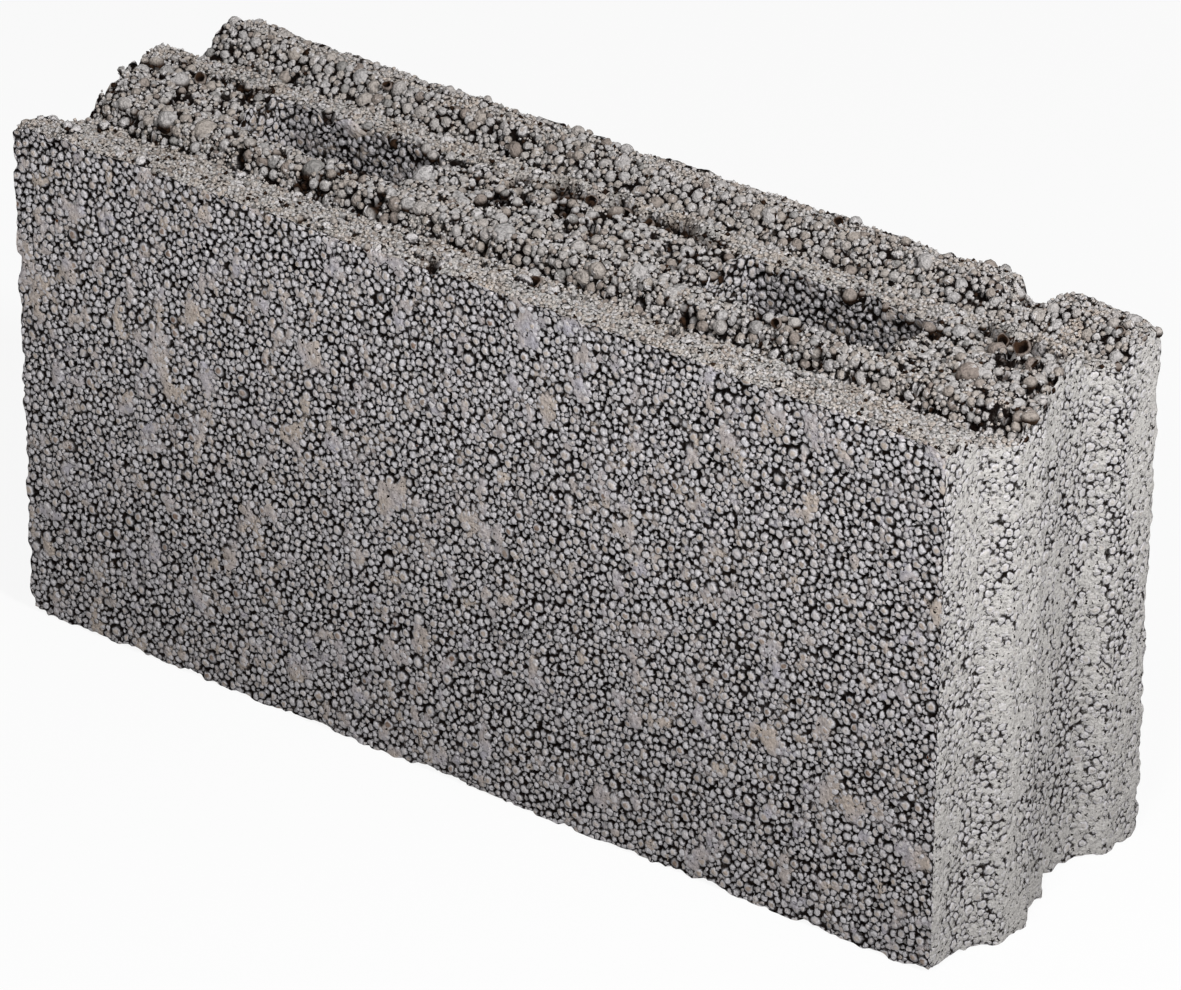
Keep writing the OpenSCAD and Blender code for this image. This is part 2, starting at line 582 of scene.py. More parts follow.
@functools.lru_cache(maxsize=None)
def loose_pellets():
    """Pellets on a face that no plate has pressed: they stand out or lie back, a few of them proud."""
    places, radii, rng = pack_pellets(LOOSE_SPAN, LOOSE_GRADING, LOOSE_SEED)
    count = len(radii)
    proud = PROUD_RISE * radii * (rng.random(count) < PROUD_SHARE)
    stray = np.clip(rng.normal(0.0, 1.0, count), -STRAY_LIMIT, STRAY_LIMIT)
    top = 0.2 + proud + STRAY_RISE * radii * stray
    tone = 0.9 * rng.random(count)
    return SimpleNamespace(at=places, r=radii * LOOSE_SPREAD, top=top, tone=tone, flatness=0.1, dome=1.4)


@functools.lru_cache(maxsize=None)
def crumb_sites():
    """Crumbs on the paste of the top: place, radius, tone, and how far each stands out in radii."""
    places, radii, rng = pack_pellets(LOOSE_SPAN, CRUMB_GRADING, CRUMB_SEED)
    tone = 0.93 * rng.random(len(radii))
    out = rng.uniform(*CRUMB_RISE, len(radii))
    return SimpleNamespace(at=places, r=radii, tone=tone, out=out)


def pellet_height(place, pellets, which):
    """Height of chosen pellets at a place, as a dome with a flattened crown.

    It is top + dome r (sqrt(1 - (1 - f) x^2 - f x^4) - 1), with x the distance over r and f the
    flatness, and falls on past the rim.
    """
    x2 = ((pellets.at[which] - place[..., None, :]) ** 2).sum(-1) / pellets.r[which] ** 2
    f = pellets.flatness
    rise = np.sqrt(np.maximum(1.0 - (1.0 - f) * x2 - f * x2 * x2, LEAST_RISE))
    drop = pellets.dome * (rise - 1.0) - np.maximum(x2 - 1.0, 0.0)
    height = pellets.top[which] + pellets.r[which] * drop
    return np.where(which < 0, NOWHERE, height)


def three_highest(places, pellets):
    """Indices of the three highest pellets at each place, highest first."""
    best = []
    for start in range(0, len(places), CHUNK):
        part = places[start : start + CHUNK]
        which = near(part, pellets.at, PELLET_REACH)
        height = pellet_height(part, pellets, which)
        order = np.argpartition(-height, 3, axis=1)[:, :3]
        order = np.take_along_axis(order, np.argsort(-np.take_along_axis(height, order, 1), axis=1), 1)
        best.append(np.take_along_axis(which, order, 1))
    return np.concatenate(best)


# Skins

# Distance from an edge in millimetres over which its wear fades out, and the share of the wear it gets
EDGE_BLEND, WEAR_SHARE = 3.4, 0.7
FRONT, REAR = np.array([0.0, -1.0, 0.0]), np.array([0.0, 1.0, 0.0])
UP, DOWN = np.array([0.0, 0.0, 1.0]), np.array([0.0, 0.0, -1.0])
# Millimetres from the edge of a packed span to the skin laid on it
SIDE_MARGIN, END_MARGIN, FLAT_MARGIN, POCKET_MARGIN = 6.0, 8.0, 4.0, 5.0
# Levels of noise above which paste hides the pellets of the sides, the bed and the pockets
SIDE_PASTE, BED_PASTE, POCKET_PASTE = 0.28, 0.1, 0.4
# Deepest and highest paste on an end and on the top, and how far the mould dragged it up an end
END_PASTE, TOP_PASTE, END_DRAG = (-2.0, 0.1), (-3.0, 0.9), 6.0
# Seed of the top skin, and what a skin's paste adds to its seed
TOP_SEED, PASTE_SEED = 500, 20


def unit(v):
    """Vectors scaled to length 1."""
    return v / np.maximum(np.linalg.norm(v, axis=-1, keepdims=True), 1e-9)


def edge_wear(points):
    """How far an edge is rubbed back at each point: slow noise with a few deeper chips."""
    fine = 0.55 + 0.6 * noise(points, 5.0, 31) + 0.45 * noise(points, 2.4, 32)
    chip = eased((noise(points, 19.0, 33) - 0.35) / 0.5)
    return looks().wear / MM * np.clip(fine + 1.3 * chip, 0.05, None)


def worn(base, normal, height, edges):
    """Moves a skin out along its normal by height, and its edges back by the wear.

    Each edge is (distance from it, normal of the skin beyond it). On the edge itself the move is
    the same sum of normals in both skins, so they meet there. Gives the points, and the form
    without its pellets.
    """
    closeness = [eased(1.0 - distance / EDGE_BLEND) for distance, _ in edges]
    nearest = np.max(closeness, axis=0)[..., None]
    total = normal + sum(c[..., None] * beyond for c, (_, beyond) in zip(closeness, edges))
    form = base - WEAR_SHARE * nearest * edge_wear(base)[..., None] * total
    return form + (1.0 - nearest) * height[..., None] * normal, form


def warped(s, t, seed):
    """Places moved a little by noise, so that pellets aren't round."""
    ds = 0.55 * flat_noise(s, t, 5.5, seed) + 0.28 * flat_noise(s, t, 2.6, seed + 1)
    dt = 0.55 * flat_noise(s, t, 5.5, seed + 2) + 0.28 * flat_noise(s, t, 2.6, seed + 3)
    return np.stack([s + ds, t + dt], -1)


def relief(place, paste, pellets):
    """Heights of a grid's vertices and the three highest pellets of its faces.

    A vertex takes the highest of the pellets of the faces round it, or the paste if that is higher.
    """
    middle = (place[:-1, :-1] + place[1:, :-1] + place[:-1, 1:] + place[1:, 1:]) / 4
    faces = three_highest(middle.reshape(-1, 2), pellets).reshape(*middle.shape[:2], 3)
    grown = np.pad(faces, ((1, 1), (1, 1), (0, 0)), mode="edge")
    around = [grown[:-1, :-1], grown[1:, :-1], grown[:-1, 1:], grown[1:, 1:]]
    height = np.max([pellet_height(place, pellets, k).max(-1) for k in around], axis=0)
    return np.maximum(np.maximum(height, paste), -looks().crevice / MM), faces


def new_mesh(name, points, loops, starts):
    """A smooth mesh from points in millimetres, the corners of its faces in a row and where each starts."""
    mesh = bpy.data.meshes.new(name)
    mesh.vertices.add(len(points))
    mesh.vertices.foreach_set("co", (points * MM).astype(np.float32).ravel())
    mesh.loops.add(len(loops))
    mesh.loops.foreach_set("vertex_index", loops.astype(np.int32))
    mesh.polygons.add(len(starts))
    mesh.polygons.foreach_set("loop_start", starts.astype(np.int32))
    mesh.polygons.foreach_set("use_smooth", np.ones(len(starts), bool))
    mesh.update(calc_edges=True)
    if mesh.validate():
        raise RuntimeError(f"{name} has faulty faces")
    return mesh


def unwrap(mesh, corners):
    """Flat places from 0 to 1 of the faces' corners, for baking."""
    layer = mesh.uv_layers.new(name="OFBake")
    layer.data.foreach_set("uv", corners.astype(np.float32).ravel())


def write_vectors(mesh, key, domain, values):
    """A vector for each vertex or face under that name."""
    layer = mesh.attributes.new(key, "FLOAT_VECTOR", domain)
    layer.data.foreach_set("vector", np.ascontiguousarray(values, np.float32).ravel())


def placed(name, mesh, material):
    """A piece of the block from its mesh."""
    piece = bpy.data.objects.new(name, mesh)
    bpy.context.scene.collection.objects.link(piece)
    mesh.materials.append(material)
    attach(piece, "root")
    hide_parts(NODE)
    return piece


def skin(name, points, form, place, paste, faces, pellets, material, kept=None, around=False, dark=None):
    """A grid of points as a mesh of quads that face along the grid's normal.

    place and paste go to the vertices and the three highest pellets to the faces, for the material.
    kept says which faces there are, all of them by default. A grid that runs around has its last
    column on its first, and its first ring is closed by quads from side to side. dark is painted
    shade, 1 where cavities, the hollow or a pocket's walls are to give back no light.
    """
    columns_n, rows_n = points.shape[:2]
    index = np.arange(columns_n * rows_n).reshape(columns_n, rows_n)
    if around:
        index[-1] = index[0]
    if kept is None:
        kept = np.ones(faces.shape[:2], bool)
    quads = np.stack([index[:-1, :-1], index[1:, :-1], index[1:, 1:], index[:-1, 1:]], -1)
    corners = np.indices((columns_n, rows_n)).transpose(1, 2, 0)
    spots = np.stack([corners[:-1, :-1], corners[1:, :-1], corners[1:, 1:], corners[:-1, 1:]], 2)
    quads, spots, which = quads[kept], spots[kept], faces[kept]
    if around:
        side = np.arange((columns_n - 1) // 2 - 1)
        lid = np.stack([columns_n - 2 - side, columns_n - 3 - side, side + 1, side], -1)
        quads = np.concatenate([quads, index[lid, 0]])
        spots = np.concatenate([spots, corners[lid, 0]])
        which = np.concatenate([which, faces[side, 0]])
    used = np.unique(quads)
    renumbered = np.zeros(columns_n * rows_n, int)
    renumbered[used] = np.arange(len(used))
    starts = np.arange(0, quads.size, 4)
    mesh = new_mesh(name, points.reshape(-1, 3)[used], renumbered[quads].ravel(), starts)
    span = np.ptp(place.reshape(-1, 2), axis=0).max() * 1.01
    flat = (place - place.reshape(-1, 2).min(0)) / span
    unwrap(mesh, flat[spots[..., 0], spots[..., 1]])
    spot = np.concatenate([place, paste[..., None]], -1)
    along = unit(np.gradient(form, axis=0))
    outward = unit(np.cross(along, np.gradient(form, axis=1)))
    for key, values in {"spot": spot, "along": along, "outward": outward}.items():
        write_vectors(mesh, key, "POINT", values.reshape(-1, 3)[used])
    if dark is not None:
        write_vectors(mesh, "shade", "POINT", np.repeat(dark.reshape(-1, 1)[used], 3, axis=1))
    for key, own in zip(RANKS, which.T):
        write_vectors(mesh, key, "FACE", np.column_stack([pellets.at[own], pellets.r[own]]))
    write_vectors(mesh, "tops", "FACE", pellets.top[which])
    write_vectors(mesh, "tones", "FACE", pellets.tone[which])
    return placed(name, mesh, material)


def covered(name, base, outward, at, paste, pellets, edges, seed, material, **rest):
    """A skin of pellets and paste on a base grid, raised along outward and worn at its edges.

    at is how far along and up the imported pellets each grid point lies.
    """
    place = warped(*at, seed)
    height, faces = relief(place, paste, pellets)
    points, form = worn(base, outward, height, edges)
    return skin(name, points, form, place, paste, faces, pellets, material, **rest)


def patches(s, t, size, stretch, level, seed):
    """From 0 to 1 where smeared paste lies: noise of that size, stretched along t, above a level."""
    field = flat_noise(s, t / stretch, size, seed) + 0.5 * flat_noise(s, t / stretch, size * 0.45, seed + 1)
    return eased((field - level) / 0.35)


def bare_paste(s, t, share_level, seed):
    """Depth of paste on a moulded face: in the gaps between pellets, and near the plate in patches."""
    gaps = -1.85 + 1.7 * flat_noise(s, t, 4.2, seed + 8) + 0.9 * flat_noise(s, t, 10.0, seed + 7)
    smear = np.maximum(
        patches(s, t, 9.0, 1.6, share_level, seed), patches(s, t, 4.4, 1.3, share_level + 0.15, seed + 5)
    )
    level = -0.3 + 0.5 * flat_noise(s, t, 2.8, seed + 9)
    return np.minimum(gaps + smear * (level - gaps), 0.0)


def upright(size, pitch, x, y, crest):
    """Grid of an upright face: columns at x and y, in even steps from the bed to the crest."""
    share = np.linspace(0.0, 1.0, round(size.height / pitch) + 1)
    return np.stack(np.broadcast_arrays(x[:, None], y[:, None], crest[:, None] * share), -1)


def side_skin(name, right_way, material, seed):
    """The front or the rear face: x along the block, z up to the worn top edge, with moulded pellets."""
    size, pitch = sizes_mm(), looks().pitch / MM
    outward = FRONT if right_way > 0 else REAR
    x = columns(size, pitch, outward[1:2] * size.width / 2)[:, 0][::right_way]
    y = outward[1] * size.width / 2 + 0 * x
    crest = size.height + top_offset(size, x, y)
    base = upright(size, pitch, x, y, crest)
    s, t = right_way * (base[..., 0] - x[0]) + SIDE_MARGIN, base[..., 2] + SIDE_MARGIN
    paste = bare_paste(s, t, SIDE_PASTE, seed + PASTE_SEED)
    along = right_way * np.array([1.0, 0.0, 0.0])
    edges = [
        (s - s.min(), -along),
        (s.max() - s, along),
        (base[..., 2], DOWN),
        (crest[:, None] - base[..., 2], UP),
    ]
    return covered(name, base, outward, (s, t), paste, moulded_pellets(), edges, seed, material)


def end_skin(name, right_way, material, seed):
    """An end: the tongue and groove profile carried up to the top's profile, covered with paste."""
    size, pitch = sizes_mm(), looks().pitch / MM
    rows = rows_of_top(size, pitch)
    y = rows.y[::right_way]
    profile = end_at(size, right_way * y)
    x = right_way * profile.x
    crest = rows.z[::right_way] + top_offset(size, x, y)
    base = upright(size, pitch, x, y, crest)
    along = right_way * np.stack([profile.tx, profile.ty, 0 * y], -1)[:, None]
    outward = np.cross(along, UP)
    top = np.stack([0 * y, -rows.tz[::right_way], rows.ty[::right_way]], -1)[:, None]
    s, t = profile.run[:, None] + END_MARGIN + 0 * base[..., 2], base[..., 2] + END_MARGIN
    depth = -0.7 + 0.75 * flat_noise(s, t / END_DRAG, 11.0, seed + PASTE_SEED)
    depth = depth + 0.9 * flat_noise(s, t, 4.2, seed + PASTE_SEED + 1)
    paste = np.clip(depth, *END_PASTE)
    edges = [
        (s - s.min(), right_way * FRONT),
        (s.max() - s, right_way * REAR),
        (base[..., 2], DOWN),
        (crest[:, None] - base[..., 2], top),
    ]
    return covered(name, base, outward, (s, t), paste, moulded_pellets(), edges, seed, material)


def end_edges(size, x, y):
    """The edges along the left and the right end, as (distance from it, normal of the end)."""
    right, left = end_at(size, y), end_at(size, -y)
    return [
        (x + left.x, np.stack([-left.ty, left.tx, 0 * y], -1)),
        (right.x - x, np.stack([right.ty, -right.tx, 0 * y], -1)),
    ]


def bed_skin(name, material, seed):
    """The bed: flat, between the two end profiles, as the pallet left it."""
    size, pitch = sizes_mm(), looks().pitch / MM
    y = rows_of_top(size, pitch).y[::-1]
    x = columns(size, pitch, y)
    base = np.stack(np.broadcast_arrays(x, y[None], 0.0), -1)
    s, t = x - x.min() + FLAT_MARGIN, size.width / 2 - y[None] + 0 * x + FLAT_MARGIN
    paste = bare_paste(s, t, BED_PASTE, seed + PASTE_SEED)
    edges = [
        *end_edges(size, x, y),
        (size.width / 2 - y[None] + 0 * x, REAR),
        (size.width / 2 + y[None] + 0 * x, FRONT),
    ]
    return covered(name, base, DOWN, (s, t), paste, moulded_pellets(), edges, seed, material)


# Millimetres by which the rim is taken as inside itself, so that its own points have a direction
RIM_INSIDE = 0.01


def rim_direction(size, x, y):
    """Distance from the nearer pocket's rim and the level direction into the pocket."""
    off_x = np.abs(x) - size.pocket_pitch / 2
    dx = np.maximum(np.abs(off_x) - size.pocket_length / 2 + RIM_INSIDE, 0.0)
    dy = np.maximum(np.abs(y) - size.pocket_width / 2 + RIM_INSIDE, 0.0)
    way = np.stack([-np.sign(x) * np.sign(off_x) * dx, -np.sign(y) * dy, 0 * dx], -1)
    return np.maximum(np.hypot(dx, dy) - 1.5 * RIM_INSIDE, 0.0), unit(way)


def in_pocket(size, x, y):
    """Whether places lie over a pocket."""
    along = np.abs(np.abs(x) - size.pocket_pitch / 2) < size.pocket_length / 2
    return along & (np.abs(y) < size.pocket_width / 2)


def top_edges(size, x, y, run, end):
    """Edges of the top as (distance from it, normal of the skin beyond it)."""
    return [*end_edges(size, x, y), (run, FRONT), (end - run, REAR), rim_direction(size, x, y)]


def top_paste(size, x, y, steep, seed):
    """Depth of paste on the top: crumbs of it on the flats, most in the channels, little on the slopes."""
    flat = 1.0 - eased(steep / 0.45)
    slopes = -1.6 + 1.5 * flat_noise(x, y, 4.0, seed + 6) + 1.2 * patches(x, y, 13.0, 1.0, 0.5, seed)
    crumbs = 0.35 - 1.7 * across(y, PELLETS_ACROSS) + 0.7 * flat_noise(x, y, 9.0, seed + 3)
    crumbs = crumbs + 1.0 * flat_noise(x, y, 3.2, seed + 4) + 0.9 * patches(x, y, 12.0, 1.0, 0.35, seed)
    ridge, hollow = crust(x, y)
    level = slopes + flat * (crumbs - slopes) + 1.2 * ridge - 1.6 * hollow - 1.5 * cavities(size, x, y)
    return np.clip(level, *TOP_PASTE)


def top_skin(name, material, seed):
    """The top: the section carried along the block between the end profiles, open over the pockets."""
    size, pitch = sizes_mm(), looks().pitch / MM
    rows = rows_of_top(size, pitch)
    x = columns(size, pitch, rows.y)
    y = rows.y[None] + 0 * x
    base = np.stack([x, y, rows.z[None] + top_offset(size, x, y)], -1)
    outward = np.stack([0 * rows.y, -rows.tz, rows.ty], -1)[None]
    run = rows.run[None] + 0 * x
    at = x - x.min() + FLAT_MARGIN, run + FLAT_MARGIN
    paste = top_paste(size, x, y, np.abs(rows.tz)[None], seed + PASTE_SEED)
    edges = top_edges(size, x, y, run, rows.end)
    mid_x = (x[:-1, :-1] + x[1:, :-1]) / 2
    mid_y = (y[:-1, :-1] + y[:-1, 1:]) / 2
    rest = {"kept": ~in_pocket(size, mid_x, mid_y), "dark": unlit(size, x, y)}
    return covered(name, base, outward, at, paste, loose_pellets(), edges, seed, material, **rest)


# Rings between a ball's poles, points round each ring, unevenness as a share of the radius, and seed
BIG = SimpleNamespace(rings=5, turns=12, uneven=0.16, seed=51)
USUAL = SimpleNamespace(rings=3, turns=8, uneven=0.16, seed=52)
CRUMB = SimpleNamespace(rings=1, turns=6, uneven=0.3, seed=53)
BROKEN = SimpleNamespace(turns=14, uneven=0.45, seed=54)
LUMP = SimpleNamespace(rings=9, turns=18, uneven=0.34, seed=55)
# Tilt and stretch of a ball, and the size in millimetres of its bumps and how fast they change over it
TILT, STRETCH, BUMP_SIZE, BUMP_PACE = 0.3, (0.84, 1.16), 1.7, 2.6
# How much lower a ball in a cavity counts for its painted shade, and over how many rings a broken pellet's
# inside darkens, first to dark clay and then to painted shade
CAVITY_SHADE_SINK, INSIDE_RINGS = 1.2, 3.0
# Free border of a ball's own square in the unwrap
UNWRAP_BORDER = 0.05
# Least radius of a large pellet
BIG_RADIUS = 2.6
# Share of bare pellets over which large ones stand out, how far a pellet stands out, and how far it sits in
BARE_SHARE, STAND_OUT, SEAT = 0.3, 0.3, 0.92
# Deepest paste that carries crumbs, and the deepest that they sit on
CRUMB_PASTE, CRUMB_SEAT = -1.9, -1.5
# How much less painted shade crumbs get than the pellets round them, and how much darker the broken ones
# are, drawn with the same painted shade
CRUMB_LESS_SHADE, FLECK_DARKER = 0.34, 1.3
# Clear distance of a pellet's middle from the top's edges, in radii
EDGE_CLEAR = 0.15
# How far broken pellets stand out and lumps lie in, in radii, and the tones of both
CUP_OUT, LUMP_IN, CUP_TONE, LUMP_TONE = 0.55, 0.55, 0.9, 0.3
# Way a broken pellet opens, besides half of the surface's own
CUP_WAY = np.array([0.35, -0.75, 0.25])
# Largest pellet that stands out of the paste on the flats
FLAT_RADIUS = 2.3
# Radius and height of a broken hollow pellet's rings: up outside, over the rim and down inside
CUP_PROFILE = (
    (0.0, -1.0),
    (0.7, -0.7),
    (1.0, -0.1),
    (0.94, 0.4),
    (0.76, 0.44),
    (0.68, 0.0),
    (0.4, -0.35),
    (0.0, -0.45),
)
CUP_OUTSIDE = 4
# Lumps on the top: x, y and radius
LUMPS = (
    (241.0, 9.0, 5.2),
    (-200.0, -29.0, 5.0),
    (222.0, -14.0, 3.8),
    (200.0, -8.0, 3.6),
    (55.0, -22.0, 3.8),
    (62.0, 0.0, 3.4),
    (76.0, -27.0, 3.4),
    (-222.0, 2.0, 4.0),
    (-20.0, 62.0, 3.8),
    (60.0, 60.0, 4.0),
    (140.0, 62.0, 3.8),
)
# Broken pellets on the top: x, y and radius
CUPS = (
    (19.8, -49.8, 3.6),
    (212.7, 14.0, 2.8),
    (225.9, 9.3, 3.3),
    (235.8, 0.9, 3.0),
    (-4.7, 21.3, 2.6),
    (14.2, 19.8, 3.2),
    (29.2, 16.5, 2.8),
    (38.1, 18.6, 2.4),
    (-150.0, 60.0, 2.8),
    (92.0, 66.0, 2.6),
    (-214.0, 8.0, 2.8),
    (130.0, -27.0, 2.6),
    (240.0, 60.0, 2.4),
)


def ball_profile(rings):
    """Radius and height of a ball's rings, from its lower pole to its upper one."""
    angle = np.linspace(-np.pi / 2, np.pi / 2, rings + 2)
    return np.column_stack([np.cos(angle), np.sin(angle)])


def ball_faces(turns, rings):
    """Quads and polar triangles of a ball with that many points round it and rings between its poles."""
    ring = 1 + np.arange(rings * turns).reshape(rings, turns)
    after = np.roll(ring, -1, axis=1)
    quads = np.stack([ring[:-1], after[:-1], after[1:], ring[1:]], -1).reshape(-1, 4)
    low = np.stack([0 * ring[0], after[0], ring[0]], -1)
    high = np.stack([0 * ring[0] + rings * turns + 1, ring[-1], after[-1]], -1)
    return quads, np.concatenate([low, high])


def ball_unwrap(turns, rings):
    """Flat places from 0 to 1 of the corners of those quads and triangles."""
    j, k = np.meshgrid(np.arange(turns), np.arange(1, rings))
    quads = np.stack([j, k, j + 1, k, j + 1, k + 1, j, k + 1], -1).reshape(-1, 4, 2)
    j, none = np.arange(turns), np.zeros(turns)
    low = np.stack([j + 0.5, none, j + 1, none + 1, j, none + 1], -1).reshape(-1, 3, 2)
    high = np.stack([j + 0.5, none + rings + 1, j, none + rings, j + 1, none + rings], -1).reshape(-1, 3, 2)
    whole = np.array([turns, rings + 1])
    return quads / whole, np.concatenate([low, high]) / whole


def balls(name, sites, profile, outside, kind, material):
    """Many pellets as one mesh: a profile carried round each one's axis, stretched and made uneven.

    A point is centre + r (1 + uneven noise) (rho(v) (a cos u + b sin u) + z(v) axis), with rho and z
    the profile. Points past the outside part of the profile are the inside of a broken pellet.
    """
    rng = np.random.default_rng(kind.seed)
    profile, turns = np.array(profile), kind.turns
    count, rings = len(sites.r), len(profile) - 2
    axis = unit(sites.out + TILT * rng.normal(size=(count, 3)))
    a = unit(np.cross(axis, rng.normal(size=(count, 3))))
    axes = np.stack([a, np.cross(axis, a), axis], 1)
    u = np.arange(turns) * 2 * np.pi / turns
    rho, z = profile[1:-1].T
    ring = np.stack([np.outer(rho, np.cos(u)), np.outer(rho, np.sin(u)), np.outer(z, 1 + 0 * u)], -1)
    poles = np.column_stack([np.zeros((2, 2)), profile[[0, -1], 1]])
    local = np.concatenate([poles[:1], ring.reshape(-1, 3), poles[1:]])
    shape = local[None] * rng.uniform(*STRETCH, (count, 1, 3))
    way = np.einsum("nvk,nkc->nvc", shape, axes)
    bump = 1.0 + kind.uneven * noise(sites.at[:, None] + BUMP_PACE * way, BUMP_SIZE, kind.seed)
    points = sites.at[:, None] + sites.r[:, None, None] * bump[..., None] * way
    # rise sets the painted shade towards a ball's foot, and painted-shade cavities lower it
    rise = np.einsum("nvc,nc->nv", way, sites.out) - CAVITY_SHADE_SINK * sites.dark[:, None]
    depth = np.concatenate([[0], np.repeat(np.arange(1, rings + 1), turns), [rings + 1]])
    inside = np.broadcast_to(np.clip((depth - outside + 1) / INSIDE_RINGS, 0.0, 1.0), rise.shape)
    stand = np.stack([np.broadcast_to(sites.tone[:, None], rise.shape), rise, inside], -1)

    quads, threes = ball_faces(turns, rings)
    first = np.arange(count)[:, None, None] * len(local)
    loops = [(first + part[None]).reshape(-1) for part in (quads, threes)]
    starts = np.concatenate(
        [np.arange(0, len(loops[0]), 4), len(loops[0]) + np.arange(0, len(loops[1]), 3)]
    )
    mesh = new_mesh(name, points.reshape(-1, 3), np.concatenate(loops), starts)
    per_row = int(np.ceil(np.sqrt(count)))
    cell = np.stack([np.arange(count) % per_row, np.arange(count) // per_row], -1)[:, None, None]
    corners = [
        (cell + UNWRAP_BORDER + (1.0 - 2 * UNWRAP_BORDER) * part[None]).reshape(-1, 2)
        for part in ball_unwrap(turns, rings)
    ]
    unwrap(mesh, np.concatenate(corners) / per_row)
    write_vectors(mesh, "stand", "POINT", stand.reshape(-1, 3))
    return placed(name, mesh, material)


def on_top(size, at, radius):
    """Surface of the top under flat places: point, normal, depth of paste and painted shade.

    clear says whether it is off the edges and the pockets.
    """
    x, run = at[:, 0] - FLAT_MARGIN - size.overall_length / 2, at[:, 1] - FLAT_MARGIN
    section = section_at(size, run)
    y, out = section.y, np.stack([0 * run, -section.tz, section.ty], -1)
    base = np.stack([x, y, section.z + top_offset(size, x, y)], -1)
    edges = top_edges(size, x, y, run, section.end)
    point = worn(base, out, 0 * run, edges)[1]
    clear = np.all([distance > EDGE_CLEAR * radius for distance, _ in edges], axis=0)
    clear = clear & ~in_pocket(size, x, y)
    paste = top_paste(size, x, y, np.abs(section.tz), TOP_SEED + PASTE_SEED)
    return SimpleNamespace(point=point, out=out, paste=paste, dark=unlit(size, x, y), clear=clear)


def chosen(at, under, r, tone, which):
    """Sites of the pellets that which picks."""
    sites = {"at": at, "out": under.out, "dark": under.dark, "r": r, "tone": tone}
    return SimpleNamespace(**{key: values[which] for key, values in sites.items()})


def round_balls(name, sites, kind, material):
    """Whole pellets, crumbs or lumps."""
    balls(name, sites, ball_profile(kind.rings), kind.rings + 2, kind, material)


def top_pellets(material):
    """The pellets that stand out of the top, as two meshes for the large and the usual ones."""
    size, pellets = sizes_mm(), loose_pellets()
    under = on_top(size, pellets.at, pellets.r)
    bare = across(under.point[:, 1], PELLETS_ACROSS) > BARE_SHARE
    shown = under.clear & (pellets.top > under.paste + STAND_OUT * pellets.r)
    shown = shown & (bare | (pellets.r < FLAT_RADIUS))
    at = under.point + (pellets.top - SEAT * pellets.r)[:, None] * under.out
    big = pellets.r > BIG_RADIUS
    few = chosen(at, under, pellets.r, pellets.tone, shown & big)
    most = chosen(at, under, pellets.r, pellets.tone, shown & ~big)
    round_balls("large_pellets", few, BIG, material)
    round_balls("top_pellets", most, USUAL, material)


def top_crumbs(material):
    """Crumbs that stick half out of the paste of the top."""
    size, crumbs = sizes_mm(), crumb_sites()
    under = on_top(size, crumbs.at, crumbs.r)
    seat = np.maximum(under.paste, CRUMB_SEAT)
    at = under.point + (seat + crumbs.out * crumbs.r)[:, None] * under.out
    sites = chosen(at, under, crumbs.r, crumbs.tone, under.clear & (under.paste > CRUMB_PASTE))
    # Crumbs get less painted shade than the ground round them; broken ones get more, for their dark inside
    sites.dark = sites.dark - CRUMB_LESS_SHADE + np.where(sites.tone > FLECK_TONE, FLECK_DARKER, 0.0)
    round_balls("top_crumbs", sites, CRUMB, material)


def listed(size, rows):
    """Surface of the top under listed places (x, y, radius), and the radii."""
    x, y, r = np.array(rows).T
    path = top_profile(size)
    run = np.interp(y, path[:, 0], run_along(path))
    at = np.stack([x + FLAT_MARGIN + size.overall_length / 2, run + FLAT_MARGIN], -1)
    return on_top(size, at, r), r


def broken_pellets(material):
    """Broken hollow pellets on the top, open towards the front and up."""
    under, r = listed(sizes_mm(), CUPS)
    at = under.point + CUP_OUT * r[:, None] * under.out
    out = unit(0.5 * under.out + CUP_WAY)
    sites = SimpleNamespace(at=at, out=out, dark=0 * r, r=r, tone=0 * r + CUP_TONE)
    balls("broken_pellets", sites, CUP_PROFILE, CUP_OUTSIDE, BROKEN, material)


def lumps(material):
    """Large cement-covered lumps on the top."""
    under, r = listed(sizes_mm(), LUMPS)
    at = under.point - LUMP_IN * r[:, None] * under.out
    sites = SimpleNamespace(at=at, out=under.out, dark=0 * r, r=r, tone=0 * r + LUMP_TONE)
    round_balls("lumps", sites, LUMP, material)


# Depth in millimetres to which a pocket's wall has fine rings, and the coarser rings below and on the floor
POCKET_FINE_DEPTH = 48.0
POCKET_COARSE_RINGS, POCKET_FLOOR_RINGS = 24, 9
# Size of the innermost and outermost ring of the floor, as shares of its outline
FLOOR_INNER, FLOOR_OUTER = 0.04, 0.93
# Depth in millimetres over which the rim's unevenness fades out
RIM_BLEND = 12.0
# Painted shade on the pockets' walls as shares, all over, and a painted shadow of the rim in the corners at
# the right end, and its length there
WALL_SHADE, CORNER_SHADOW, CORNER_SHADOW_LENGTH = 0.18, 0.78, 26.0
# Depth under the rim at which the painted shade is full
SHADE_BELOW = 4.0


def rim_points(size, side, pitch):
    """The top skin's vertices round a pocket's opening, clockwise from above, starting near left."""
    rows = rows_of_top(size, pitch).y
    y = rows[np.abs(rows) <= size.pocket_width / 2 + 1e-6]
    x = columns(size, pitch, np.array([0.0]))[:, 0]
    x = x[np.abs(x - side * size.pocket_pitch / 2) <= size.pocket_length / 2 + 1e-6]
    left = np.column_stack([0 * y + x[0], y])
    far = np.column_stack([x, 0 * x + y[-1]])
    right = np.column_stack([0 * y + x[-1], y[::-1]])
    close = np.column_stack([x[::-1], 0 * x + y[0]])
    return np.concatenate([left[:-1], far[:-1], right[:-1], close])


